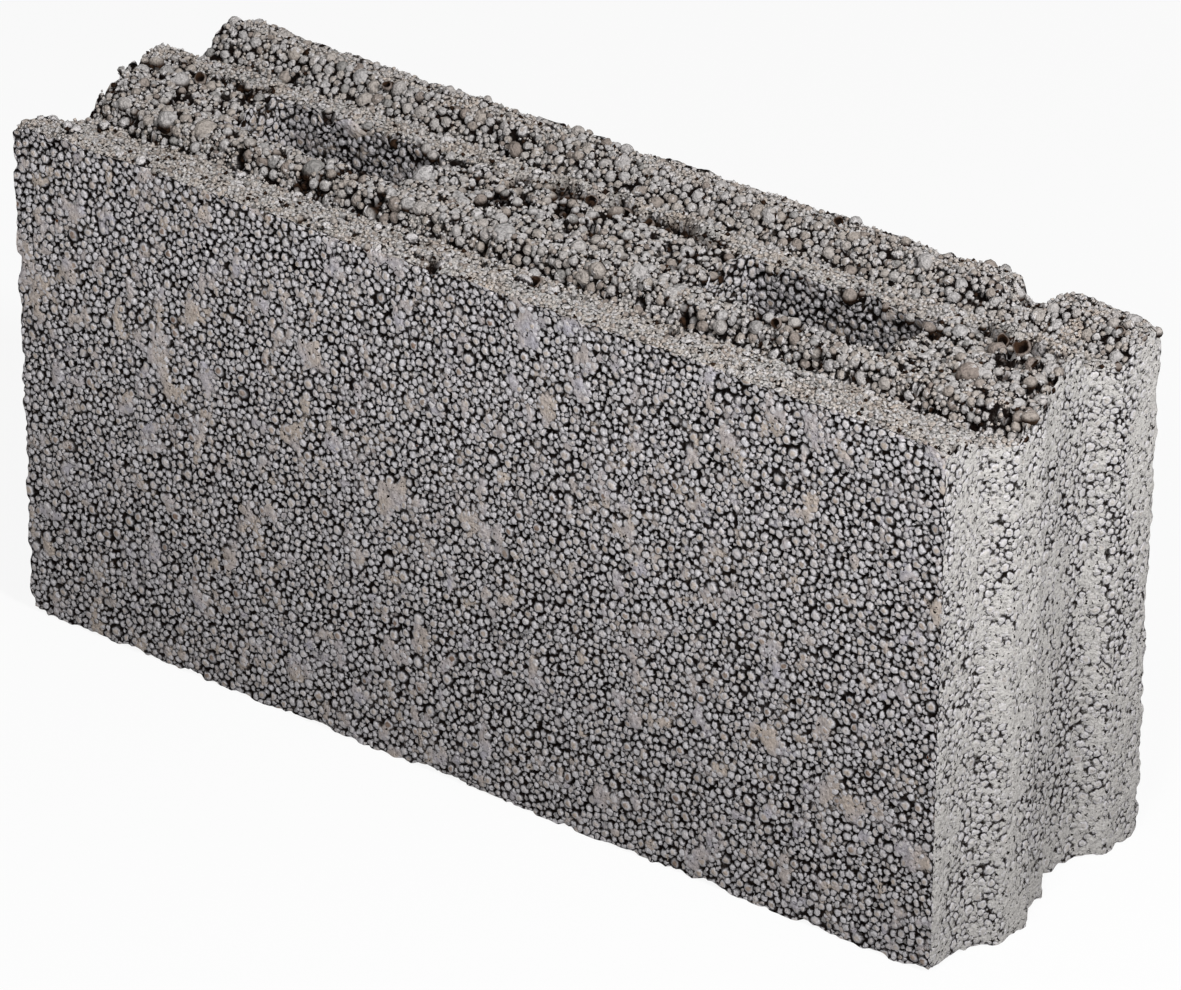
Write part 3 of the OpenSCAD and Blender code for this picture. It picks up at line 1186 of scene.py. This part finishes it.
def pocket_grid(size, rim, middle, pitch):
    """A pocket's form as rings, from the middle of its floor out, up the drafted wall and to the rim.

    Gives the points and the normals into the pocket.
    """
    half = np.array([size.pocket_length, size.pocket_width]) / 2
    flat = rim - middle
    hub = np.clip(flat, -(half - size.pocket_corner), half - size.pocket_corner)
    outline = hub + size.pocket_corner * unit(flat - hub)
    depth_all = size.height - size.pocket_base
    fine = np.arange(1.0, POCKET_FINE_DEPTH, pitch)
    coarse = np.geomspace(POCKET_FINE_DEPTH, depth_all, POCKET_COARSE_RINGS)
    depth = np.concatenate([fine, coarse])[::-1]
    taper = 1.0 - depth[None, :, None] / depth_all * (size.pocket_draft / half)
    level = np.broadcast_to(size.height - depth, (len(rim), len(depth)))[..., None]
    wall = np.concatenate([middle + outline[:, None] * taper, level], -1)
    shrink = np.linspace(FLOOR_INNER, FLOOR_OUTER, POCKET_FLOOR_RINGS)[None, :, None]
    floor = np.concatenate([middle + (wall[:, :1, :2] - middle) * shrink, 0 * shrink + wall[:, :1, 2:]], -1)
    lift = top_offset(size, rim[:, 0], rim[:, 1])
    rim_ring = np.column_stack([rim, size.height + lift])[:, None]
    wall[..., 2] += lift[:, None] * eased(1.0 - depth / RIM_BLEND)[None]
    base = np.concatenate([floor, wall, rim_ring], axis=1)
    inward = np.concatenate([-unit(flat - hub), np.zeros((len(rim), 1))], -1)[:, None]
    on_floor = (np.arange(base.shape[1]) < POCKET_FLOOR_RINGS)[None, :, None]
    return base, np.where(on_floor, UP, inward)


def pocket_skin(name, side, material, seed):
    """A pocket: its rings with moulded pellets, and its rim where the top skin's own rim is."""
    size, pitch = sizes_mm(), looks().pitch / MM
    rim = rim_points(size, side, pitch)
    middle = np.array([side * size.pocket_pitch / 2, 0.0])
    base, outward = pocket_grid(size, rim, middle, pitch)
    around = run_along(rim)[:, None]
    climb = np.linalg.norm(np.diff(base, axis=1), axis=-1).mean(0)
    t = np.concatenate([[0.0], np.cumsum(climb)])[None] + POCKET_MARGIN + 0 * around
    s = around + POCKET_MARGIN + 0 * t
    place = warped(s, t, seed)
    paste = bare_paste(s, t, POCKET_PASTE, seed + PASTE_SEED)
    height, faces = relief(place, paste, moulded_pellets())
    _, into = rim_direction(size, rim[:, :1], rim[:, 1:])
    points, form = worn(base, outward, height, [(t.max() - t, UP + 0 * outward)])
    points[:, -1] = base[:, -1] - WEAR_SHARE * edge_wear(base[:, -1])[:, None] * (UP + into[:, 0])
    points[-1] = points[0]
    # Painted shade on the walls below the rim, and a painted shadow of the rim in the corners at the right
    # end
    right_end = middle[0] + size.pocket_length / 2
    corner = eased((base[..., 0] - right_end) / CORNER_SHADOW_LENGTH + 1.0)
    pocket_shade = (WALL_SHADE + CORNER_SHADOW * corner) * eased((size.height - base[..., 2]) / SHADE_BELOW)
    rest = {"around": True, "dark": pocket_shade}
    return skin(name, points, form, place, paste, faces, moulded_pellets(), material, **rest)


# Materials

# Brightness of the concrete, as shares: painted shade towards the bed and painted light at the top
BED_SHADE_SHARE, TOP_LIGHT_SHARE = 0.72, 1.03
# Height in metres below the bed at which the painted shade would be full
BED_SHADE_FROM = -0.04
# Brightness of the loose pellets, which little cement covers, and of the crumbs of cement
PELLET_SHARE, CRUMB_SHARE = 0.77, 0.94
# Dry open-pored concrete is dull, and its gaps send back almost no light
ROUGHNESS, SHEEN = 0.95, 0.03
# Size in millimetres and detail of the concrete's noises, the sand grit drawn coarse enough to show
GRAINS = {
    "ragged": (2.2, 2.0),
    "grit": (1.5, 3.0),
    "crumb": (2.6, 2.0),
    "pit": (1.9, 2.0),
    "blotch": (24.0, 2.0),
}
GRAIN_ROUGHNESS = 0.65
# Height in metres of the grains' bump, and width in millimetres of the streaks that the mould pulled
BUMP_HEIGHT, STREAK_WIDTH = 0.0016, 0.9
# Millimetres of paste over which it hides a pellet, and below a pellet's peak where its own tone shows
PASTE_EDGE, CROWN_EDGE = (-0.1, 0.15), (-0.3, -0.04)
# Brightness, as shares, of pellets and paste between the grit, and of both between the streaks
PELLET_GRIT, PASTE_GRIT, STREAK_SHARE = 0.76, 0.7, 0.88
# Darkness of a full cavity in painted shade, share of a pellet's peak from which a gap counts, and how
# sharply the painted shade in gaps grows
CAVITY_SHADE, PEAK_SHARE, GAP_SHADE_POWER = 0.9, 0.7, 5.0
# Share by which paste flattens the domes, and by which it takes the skin's own normal
PASTE_FLATTENS, PASTE_SMOOTHS = 0.65, 0.7
# Reach in millimetres of the grit in the paste's outline, and width of a pit's edge in the noise
GRIT_REACH, PIT_EDGE = 0.7, 0.06
# Cement on loose grains, and their brightness between the grit and in their pits, as shares
LOOSE_COAT, LOOSE_GRIT, LOOSE_PITS = 0.35, 0.62, 0.6
# Rise over a grain's middle, in radii, at which painted shade starts towards its foot and is full dark
FOOT_SHADE_EDGE = (0.52, -0.2)
# Settings of a smooth Map Range, and of a Mix of colours, whose inputs are sockets 6 and 7
SMOOTH = {"interpolation_type": "SMOOTHSTEP"}
COLOURS = {"data_type": "RGBA", "out": 2}


def add(tree, kind, inputs=(), out=0, **settings):
    """Adds a node with its settings and inputs, and gives one of its outputs, or all of them for None.

    inputs is a list in the order of the node's sockets, or a dict by their numbers or names. A value
    that is another node's output is linked.
    """
    node = tree.nodes.new("ShaderNode" + kind)
    for key, value in settings.items():
        setattr(node, key, value)
    for key, value in inputs.items() if isinstance(inputs, dict) else enumerate(inputs):
        if isinstance(value, bpy.types.NodeSocket):
            tree.links.new(value, node.inputs[key])
        else:
            node.inputs[key].default_value = value
    return node.outputs if out is None else node.outputs[out]


def new_material(name):
    """An empty material, and the function that adds a node to it."""
    material = bpy.data.materials.new(name)
    material.use_nodes = True
    material.node_tree.nodes.clear()
    return material, functools.partial(add, material.node_tree)


def opaque(*hues):
    """Colours with full alpha."""
    return [(*hue, 1.0) for hue in hues]


def grains(node, keys):
    """The concrete's noises by name, over the object's own coordinates."""
    at = node("TexCoord", out="Object")
    fields = {}
    for key in keys:
        size, detail = GRAINS[key]
        inputs = {"Vector": at, "Scale": 1.0 / (size * MM), "Detail": detail, "Roughness": GRAIN_ROUGHNESS}
        fields[key] = node("TexNoise", inputs, None)
    return fields


def pellet_hue(node, tone, hue):
    """Colour of a pellet from its tone, from dark over its usual hue to brownish."""
    look = looks()
    shade = node("ValToRGB", [tone])
    stops = ((0.0, look.dark), (0.08, hue), (0.25, hue), (0.7, look.warm), (0.98, look.rust))
    elements = shade.node.color_ramp.elements
    while len(elements) < len(stops):
        elements.new(0.5)
    for element, (at, tint) in zip(elements, stops):
        element.position = at
        element.color = (*tint, 1.0)
    return shade


def highest_pellet(node, given, place, pellets):
    """Height, lean, tone and peak of the highest of the three pellets that a face carries.

    The height is the same formula as in pellet_height, and the lean is its slope.
    """
    flatness, dome = pellets.flatness, pellets.dome
    tops = node("SeparateXYZ", [given["tops"]], None)
    tones = node("SeparateXYZ", [given["tones"]], None)
    best = None
    for k, key in enumerate(RANKS):
        radius = node("SeparateXYZ", [given[key]], "Z")
        centre = node("VectorMath", [given[key], (1.0, 1.0, 0.0)], operation="MULTIPLY")
        off = node("VectorMath", [place, centre], operation="SUBTRACT")
        inverse = node("Math", [1.0, radius], operation="DIVIDE")
        off = node("VectorMath", {0: off, 3: inverse}, operation="SCALE")
        x2 = node("VectorMath", [off, off], "Value", operation="DOT_PRODUCT")
        bend = node("Math", [x2, flatness, 1.0 - flatness], operation="MULTIPLY_ADD")
        bent = node("Math", [x2, bend], operation="MULTIPLY")
        left = node("Math", [1.0, bent], operation="SUBTRACT")
        left = node("Math", [left, LEAST_RISE], operation="MAXIMUM")
        rise = node("Math", [left], operation="SQRT")
        past = node("Math", [x2, 1.0], operation="SUBTRACT")
        past = node("Math", [past, 0.0], operation="MAXIMUM")
        drop = node("Math", [rise, dome, -dome], operation="MULTIPLY_ADD")
        drop = node("Math", [drop, past], operation="SUBTRACT")
        height = node("Math", [radius, drop, tops[k]], operation="MULTIPLY_ADD")
        slope = [x2, 2.0 * flatness * dome, (1.0 - flatness) * dome]
        steep = node("Math", [node("Math", slope, operation="MULTIPLY_ADD"), rise], operation="DIVIDE")
        lean = node("VectorMath", {0: off, 3: steep}, operation="SCALE")
        if best is None:
            best = SimpleNamespace(height=height, lean=lean, tone=tones[k], peak=tops[k])
            continue
        higher = node("Math", [height, best.height], operation="GREATER_THAN")
        best.lean = node("Mix", {0: higher, 4: best.lean, 5: lean}, 1, data_type="VECTOR")
        best.tone = node("Mix", {0: higher, 2: best.tone, 3: tones[k]}, 0, data_type="FLOAT")
        best.peak = node("Mix", {0: higher, 2: best.peak, 3: tops[k]}, 0, data_type="FLOAT")
        best.height = node("Math", [best.height, height], operation="MAXIMUM")
    return best


def domed_normal(node, given, lean, pasted):
    """World normal of the pellets' domes, flatter where paste covers them."""
    left = node("Math", [pasted, -PASTE_FLATTENS, 1.0], operation="MULTIPLY_ADD")
    lean = node("SeparateXYZ", [node("VectorMath", {0: lean, 3: left}, operation="SCALE")], None)
    upward = node("VectorMath", [given["outward"], given["along"]], operation="CROSS_PRODUCT")
    sideways = node("VectorMath", {0: given["along"], 3: lean["X"]}, operation="SCALE")
    upward = node("VectorMath", {0: upward, 3: lean["Y"]}, operation="SCALE")
    normal = node("VectorMath", [given["outward"], sideways], operation="ADD")
    normal = node("VectorMath", [normal, upward], operation="ADD")
    normal = node("VectorMath", [normal], operation="NORMALIZE")
    turned = {"vector_type": "NORMAL", "convert_from": "OBJECT", "convert_to": "WORLD"}
    normal = node("VectorTransform", [normal], **turned)
    share = node("Math", [pasted, PASTE_SMOOTHS], operation="MULTIPLY")
    smooth = node("NewGeometry", out="Normal")
    normal = node("Mix", {0: share, 4: normal, 5: smooth}, 1, data_type="VECTOR")
    return node("VectorMath", [normal], operation="NORMALIZE")


def darkened(node, body, share, where):
    """A colour, scaled by a share where a field is 0 and left as it is where that is 1."""
    darker = node("VectorMath", {0: body, 3: share}, operation="SCALE")
    return node("Mix", {0: where, 6: darker, 7: body}, **COLOURS)


def dull_surface(node, body, rough, normal=None):
    """The dull surface of dried concrete, with its grains as bump."""
    bump = {"Strength": 1.0, "Distance": BUMP_HEIGHT, "Height": rough}
    if normal is not None:
        bump["Normal"] = normal
    finish = {"Base Color": body, "Roughness": ROUGHNESS, "Specular IOR Level": SHEEN}
    shader = node("BsdfPrincipled", {**finish, "Normal": node("Bump", bump)})
    node("OutputMaterial", [shader], None)


def pellet_concrete(name, pellets, hues, coat, crumble, drag, gap_shade_depth, grain, porous):
    """Concrete of clay pellets in cement, drawn from the pellets that each face carries.

    The eye sees pale dull domes with black gaps, whose black is painted shade, and patches of smooth
    paste that hide them. hues are the pellets' colour and the two of the paste. coat is the share of
    cement on the pellets' crowns, crumble how ragged the paste is in millimetres, drag how long its
    streaks are, gap_shade_depth the depth in millimetres at which the painted shade of a gap is half
    dark, grain the share of crumbs in the bump, and porous the level of noise under which the paste
    has pits.
    """
    look = looks()
    pellet, paste_high, paste_low, cement, gap, broken = opaque(*hues, look.paste, look.gap, look.broken)
    material, node = new_material(name)
    keys = ("spot", "along", "outward", *RANKS, "tops", "tones", "shade")
    given = {key: node("Attribute", out="Vector", attribute_name=key) for key in keys}
    field = grains(node, GRAINS)
    grit, crumb, blotch = (field[key]["Fac"] for key in ("grit", "crumb", "blotch"))

    ragged = node("VectorMath", [field["ragged"]["Color"], (0.5, 0.5, 0.5)], operation="SUBTRACT")
    ragged = node("VectorMath", {0: ragged, 3: GRAINS["ragged"][0]}, operation="SCALE")
    place = node("VectorMath", [given["spot"], ragged], operation="ADD")
    place = node("VectorMath", [place, (1.0, 1.0, 0.0)], operation="MULTIPLY")
    best = highest_pellet(node, given, place, pellets)
    level = node("SeparateXYZ", [given["spot"]], "Z")
    for noise_field, reach in ((crumb, crumble), (grit, GRIT_REACH)):
        stray = node("Math", [noise_field, 0.5], operation="SUBTRACT")
        level = node("Math", [stray, reach, level], operation="MULTIPLY_ADD")
    over = node("Math", [level, best.height], operation="SUBTRACT")
    pasted = node("MapRange", [over, *PASTE_EDGE], **SMOOTH)
    surface = node("Math", [best.height, level], operation="MAXIMUM")

    body = node("Mix", {0: coat, 6: pellet_hue(node, best.tone, hues[0]), 7: cement}, **COLOURS)
    under = node("Math", [best.height, best.peak], operation="SUBTRACT")
    crown = node("MapRange", [under, *CROWN_EDGE], **SMOOTH)
    body = node("Mix", {0: crown, 6: pellet, 7: body}, **COLOURS)
    body = darkened(node, body, PELLET_GRIT, node("MapRange", [grit, 0.3, 0.65], **SMOOTH))
    patch = node("MapRange", [blotch, 0.35, 0.7], **SMOOTH)
    paste = node("Mix", {0: patch, 6: paste_low, 7: paste_high}, **COLOURS)
    paste = darkened(node, paste, PASTE_GRIT, node("MapRange", [grit, 0.3, 0.6], **SMOOTH))
    body = node("Mix", {0: pasted, 6: body, 7: paste}, **COLOURS)
    stretch = (1.0 / STREAK_WIDTH, 1.0 / (STREAK_WIDTH * drag), 0.0)
    streak = node("VectorMath", [given["spot"], stretch], operation="MULTIPLY")
    streak = node("TexNoise", {"Vector": streak, "Scale": 1.0, "Detail": 2.0})
    body = darkened(node, body, STREAK_SHARE, node("MapRange", [streak, 0.3, 0.65], **SMOOTH))
    pits = node("MapRange", [field["pit"]["Fac"], porous, porous - PIT_EDGE], **SMOOTH)
    pits = node("Math", [pits, pasted], operation="MULTIPLY")
    body = node("Mix", {0: pits, 6: body, 7: gap}, **COLOURS)

    # Painted shade of the top's cavities and the hollow and of the pockets' walls, in brown-black
    cavity = node("SeparateXYZ", [given["shade"]], "X")
    cavity = node("Math", [cavity, CAVITY_SHADE], operation="MULTIPLY")
    shade_brown = node("Mix", {0: node("MapRange", [crumb, 0.4, 0.6], **SMOOTH), 6: gap, 7: broken}, **COLOURS)
    body = node("Mix", {0: cavity, 6: body, 7: shade_brown}, **COLOURS)
    # Painted shade and light: the concrete is darker towards the bed and lighter towards the top
    above_bed = node("SeparateXYZ", [node("TexCoord", out="Object")], "Z")
    height_shading = node("MapRange", [above_bed, BED_SHADE_FROM, CAD_HIGH[2], BED_SHADE_SHARE, TOP_LIGHT_SHARE], **SMOOTH)
    body = node("VectorMath", {0: body, 3: height_shading}, operation="SCALE")
    # Painted shade: the deeper a point lies below its pellet's peak, the nearer it goes to the unlit gap
    # colour
    depth = node("Math", [best.peak, PEAK_SHARE], operation="MULTIPLY")
    depth = node("Math", [depth, surface], operation="SUBTRACT")
    depth = node("Math", [depth, 0.0], operation="MAXIMUM")
    sunk = node("Math", [depth, gap_shade_depth], operation="DIVIDE")
    sunk = node("Math", [sunk, GAP_SHADE_POWER], operation="POWER")
    gap_shade = node("Math", [sunk, node("Math", [sunk, 1.0], operation="ADD")], operation="DIVIDE")
    body = node("Mix", {0: gap_shade, 6: body, 7: gap}, **COLOURS)

    rough = node("Math", [crumb, grain, grit], operation="MULTIPLY_ADD")
    dull_surface(node, body, rough, domed_normal(node, given, best.lean, pasted))
    return material


@functools.lru_cache(maxsize=None)
def loose_concrete(name, share):
    """Cement-coated grains: the eye sees them dull grey, and black where they sit in the gaps, which is
    painted shade.

    share says how bright they are against the concrete around them.
    """
    look = looks()
    cement, gap, broken = opaque(look.paste, look.gap, look.broken)
    material, node = new_material(name)
    stand = node("Attribute", out="Vector", attribute_name="stand")
    tone, rise, inside = node("SeparateXYZ", [stand], None)
    grit, crumb = (field["Fac"] for field in grains(node, ("grit", "crumb")).values())
    body = node("Mix", {0: LOOSE_COAT, 6: pellet_hue(node, tone, look.bare), 7: cement}, **COLOURS)
    body = node("VectorMath", {0: body, 3: share}, operation="SCALE")
    body = darkened(node, body, LOOSE_GRIT, node("MapRange", [grit, 0.3, 0.62], **SMOOTH))
    body = darkened(node, body, LOOSE_PITS, node("MapRange", [crumb, 0.3, 0.42], **SMOOTH))
    # Painted shade: the foot of a grain, and a grain in a shaded cavity, go brown-black
    shade_brown = node("Mix", {0: node("MapRange", [crumb, 0.35, 0.65], **SMOOTH), 6: gap, 7: broken}, **COLOURS)
    body = node("Mix", {0: node("MapRange", [rise, *FOOT_SHADE_EDGE], **SMOOTH), 6: body, 7: shade_brown}, **COLOURS)
    body = node("Mix", {0: node("MapRange", [inside, 0.0, 0.4], **SMOOTH), 6: body, 7: broken}, **COLOURS)
    # Painted shade deep inside a broken pellet, below its dark clay
    body = node("Mix", {0: node("MapRange", [inside, 0.5, 1.0], **SMOOTH), 6: body, 7: gap}, **COLOURS)
    dull_surface(node, body, node("Math", [crumb, grit], operation="ADD"))
    return material


@functools.lru_cache(maxsize=None)
def concrete(kind):
    """The concrete of the faces, the ends or the rough top, made once."""
    look = looks()
    if kind == "face":
        return pellet_concrete(
            "pellet_concrete",
            moulded_pellets(),
            hues=(look.pellet, look.slick, look.smear),
            coat=0.0,
            crumble=2.0,
            drag=5.0,
            gap_shade_depth=0.57,
            grain=0.8,
            porous=0.39,
        )
    if kind == "end":
        return pellet_concrete(
            "paste_covered_concrete",
            moulded_pellets(),
            hues=(look.pellet, look.paste, look.paste),
            coat=0.75,
            crumble=4.0,
            drag=5.0,
            gap_shade_depth=0.6,
            grain=0.5,
            porous=0.4,
        )
    return pellet_concrete(
        "rough_pellet_concrete",
        loose_pellets(),
        hues=(look.bare, look.warm, look.paste),
        coat=0.5,
        crumble=3.4,
        drag=1.0,
        gap_shade_depth=0.68,
        grain=2.2,
        porous=0.45,
    )


# Operators


class BLOCK_OT_sides(bpy.types.Operator):
    """Add the front and rear faces."""

    bl_idname = "concrete_block.sides"
    bl_label = "Front and Rear Faces"

    def execute(self, context):
        side_skin("front_face", 1, concrete("face"), 100)
        side_skin("rear_face", -1, concrete("face"), 200)
        return {"FINISHED"}


class BLOCK_OT_ends(bpy.types.Operator):
    """Add the two ends with their tongues and grooves."""

    bl_idname = "concrete_block.ends"
    bl_label = "Ends"

    def execute(self, context):
        end_skin("right_end", 1, concrete("end"), 300)
        end_skin("left_end", -1, concrete("end"), 400)
        return {"FINISHED"}


class BLOCK_OT_top(bpy.types.Operator):
    """Add the top with its lips, channels and middle band."""

    bl_idname = "concrete_block.top"
    bl_label = "Top"

    def execute(self, context):
        top_skin("top", concrete("top"), TOP_SEED)
        return {"FINISHED"}


class BLOCK_OT_pellets(bpy.types.Operator):
    """Add the pellets, crumbs and broken pellets that stand out of the top."""

    bl_idname = "concrete_block.pellets"
    bl_label = "Pellets on the Top"

    def execute(self, context):
        pellets = loose_concrete("loose_pellet_concrete", PELLET_SHARE)
        top_pellets(pellets)
        top_crumbs(loose_concrete("crumb_concrete", CRUMB_SHARE))
        broken_pellets(pellets)
        lumps(pellets)
        return {"FINISHED"}


class BLOCK_OT_pockets(bpy.types.Operator):
    """Add the two pockets."""

    bl_idname = "concrete_block.pockets"
    bl_label = "Pockets"

    def execute(self, context):
        pocket_skin("left_pocket", -1, concrete("face"), 600)
        pocket_skin("right_pocket", 1, concrete("face"), 700)
        return {"FINISHED"}


class BLOCK_OT_bed(bpy.types.Operator):
    """Add the bed that the block stands on."""

    bl_idname = "concrete_block.bed"
    bl_label = "Bed"

    def execute(self, context):
        bed_skin("bed", concrete("face"), 800)
        return {"FINISHED"}


# Lamps: place and side in metres, and power in watts
LAMPS = {
    "key_light": ((1.95, -0.45, 1.95), 0.3, 74.0),
    "fill_light": ((0.8, -1.6, 1.3), 0.5, 21.0),
}
# Strength of the surroundings as light, where 1 is white
WORLD_LIGHT = 0.25
# Half side of the floor in metres, its colour, and the share of plain white in what the camera sees of it
FLOOR_REACH, FLOOR_COLOUR, FLOOR_GLOW = 12.0, "D0D0D0", 0.9
WHITE = (1.0, 1.0, 1.0, 1.0)
# Camera fitted to the photo: place in metres, view direction, lens on a 36 mm sensor and roll
CAMERA_AT = Vector((1.52659, -1.90384, 1.36393))
CAMERA_WAY = Vector((-0.55360, 0.69605, -0.45721))
CAMERA_LENS, CAMERA_SENSOR, CAMERA_ROLL = 194.758, 36.0, 0.312


class BLOCK_OT_stage(bpy.types.Operator):
    """Add the floor, the lamps and the camera."""

    bl_idname = "concrete_block.stage"
    bl_label = "Stage"

    def execute(self, context):
        scene = context.scene
        add_floor(scene)
        for name, (place, size, power) in LAMPS.items():
            add_light(scene, name, place, size, power)
        add_world(scene)
        add_camera(scene)
        scene.view_settings.view_transform = "Standard"
        return {"FINISHED"}


def seen_directly(node):
    """1 for what the camera sees, straight on or by a mirror or glass, and 0 for light on the block."""
    path = node("LightPath", out=None)
    seen = node("Math", [path["Is Camera Ray"], path["Is Glossy Ray"]], operation="MAXIMUM")
    return node("Math", [seen, path["Is Transmission Ray"]], operation="MAXIMUM")


def add_floor(scene):
    """A wide pale floor that shows white to the camera and keeps the block's shadow."""
    mesh = bpy.data.meshes.new("floor")
    corners = [(i * FLOOR_REACH, j * FLOOR_REACH, 0.0) for i, j in ((-1, -1), (1, -1), (1, 1), (-1, 1))]
    mesh.from_pydata(corners, [], [(0, 1, 2, 3)])
    floor = bpy.data.objects.new("floor", mesh)
    scene.collection.objects.link(floor)
    material, node = new_material("white_studio_floor")
    matt = node("BsdfDiffuse", {"Color": (*linear(FLOOR_COLOUR), 1.0)})
    glow = node("Emission", {"Color": WHITE, "Strength": 1.0})
    share = node("Math", [seen_directly(node), FLOOR_GLOW], operation="MULTIPLY")
    node("OutputMaterial", [node("MixShader", [share, matt, glow])], None)
    mesh.materials.append(material)


def add_light(scene, name, place, size, power):
    """A soft square lamp aimed at the middle of the block."""
    lamp = bpy.data.lights.new(name, "AREA")
    lamp.size = size
    lamp.energy = power
    holder = bpy.data.objects.new(name, lamp)
    holder.location = place
    aim = Vector((0.0, 0.0, (CAD_LOW[2] + CAD_HIGH[2]) / 2)) - Vector(place)
    holder.rotation_euler = aim.to_track_quat("-Z", "Y").to_euler()
    scene.collection.objects.link(holder)


def add_world(scene):
    """Even white surroundings, full white to the camera and weaker as light."""
    world = bpy.data.worlds.new("studio")
    scene.world = world
    world.use_nodes = True
    world.node_tree.nodes.clear()
    node = functools.partial(add, world.node_tree)
    strength = [seen_directly(node), 1.0 - WORLD_LIGHT, WORLD_LIGHT]
    strength = node("Math", strength, operation="MULTIPLY_ADD")
    sky = node("Background", {"Color": WHITE, "Strength": strength})
    node("OutputWorld", [sky], None)


def add_camera(scene):
    """The photo's camera."""
    data = bpy.data.cameras.new("camera")
    data.lens = CAMERA_LENS
    data.sensor_width = CAMERA_SENSOR
    data.sensor_fit = "HORIZONTAL"
    data.clip_start, data.clip_end = 0.1, 50.0
    camera = bpy.data.objects.new("camera", data)
    turn = CAMERA_WAY.to_track_quat("-Z", "Y").to_matrix().to_4x4()
    roll = Matrix.Rotation(math.radians(CAMERA_ROLL), 4, "Z")
    camera.matrix_world = Matrix.Translation(CAMERA_AT) @ turn @ roll
    scene.collection.objects.link(camera)
    scene.camera = camera


class BLOCK_PT_panel(bpy.types.Panel):
    """Sidebar list of the block's operators."""

    bl_idname = "BLOCK_PT_panel"
    bl_label = "Concrete Block"
    bl_space_type = "VIEW_3D"
    bl_region_type = "UI"
    bl_category = "Block"

    def draw(self, context):
        for operator in OPERATORS:
            self.layout.operator(operator.bl_idname)


OPERATORS = (
    BLOCK_OT_sides,
    BLOCK_OT_ends,
    BLOCK_OT_top,
    BLOCK_OT_pellets,
    BLOCK_OT_pockets,
    BLOCK_OT_bed,
    BLOCK_OT_stage,
)
CLASSES = (BlockSizes, ConcreteLooks, BlockSettings, *OPERATORS, BLOCK_PT_panel)


def register():
    """Registers the settings, operators and panel."""
    for cls in CLASSES:
        bpy.utils.register_class(cls)
    bpy.types.Scene.concrete_block = PointerProperty(type=BlockSettings)


def unregister():
    """Takes them away again, last first."""
    del bpy.types.Scene.concrete_block
    for cls in reversed(CLASSES):
        bpy.utils.unregister_class(cls)


def main():
    """Builds the block and its stage."""
    register()
    bpy.ops.concrete_block.sides()
    bpy.ops.concrete_block.ends()
    bpy.ops.concrete_block.top()
    bpy.ops.concrete_block.pellets()
    bpy.ops.concrete_block.pockets()
    bpy.ops.concrete_block.bed()
    bpy.ops.concrete_block.stage()


if __name__ == "__main__":
    main()
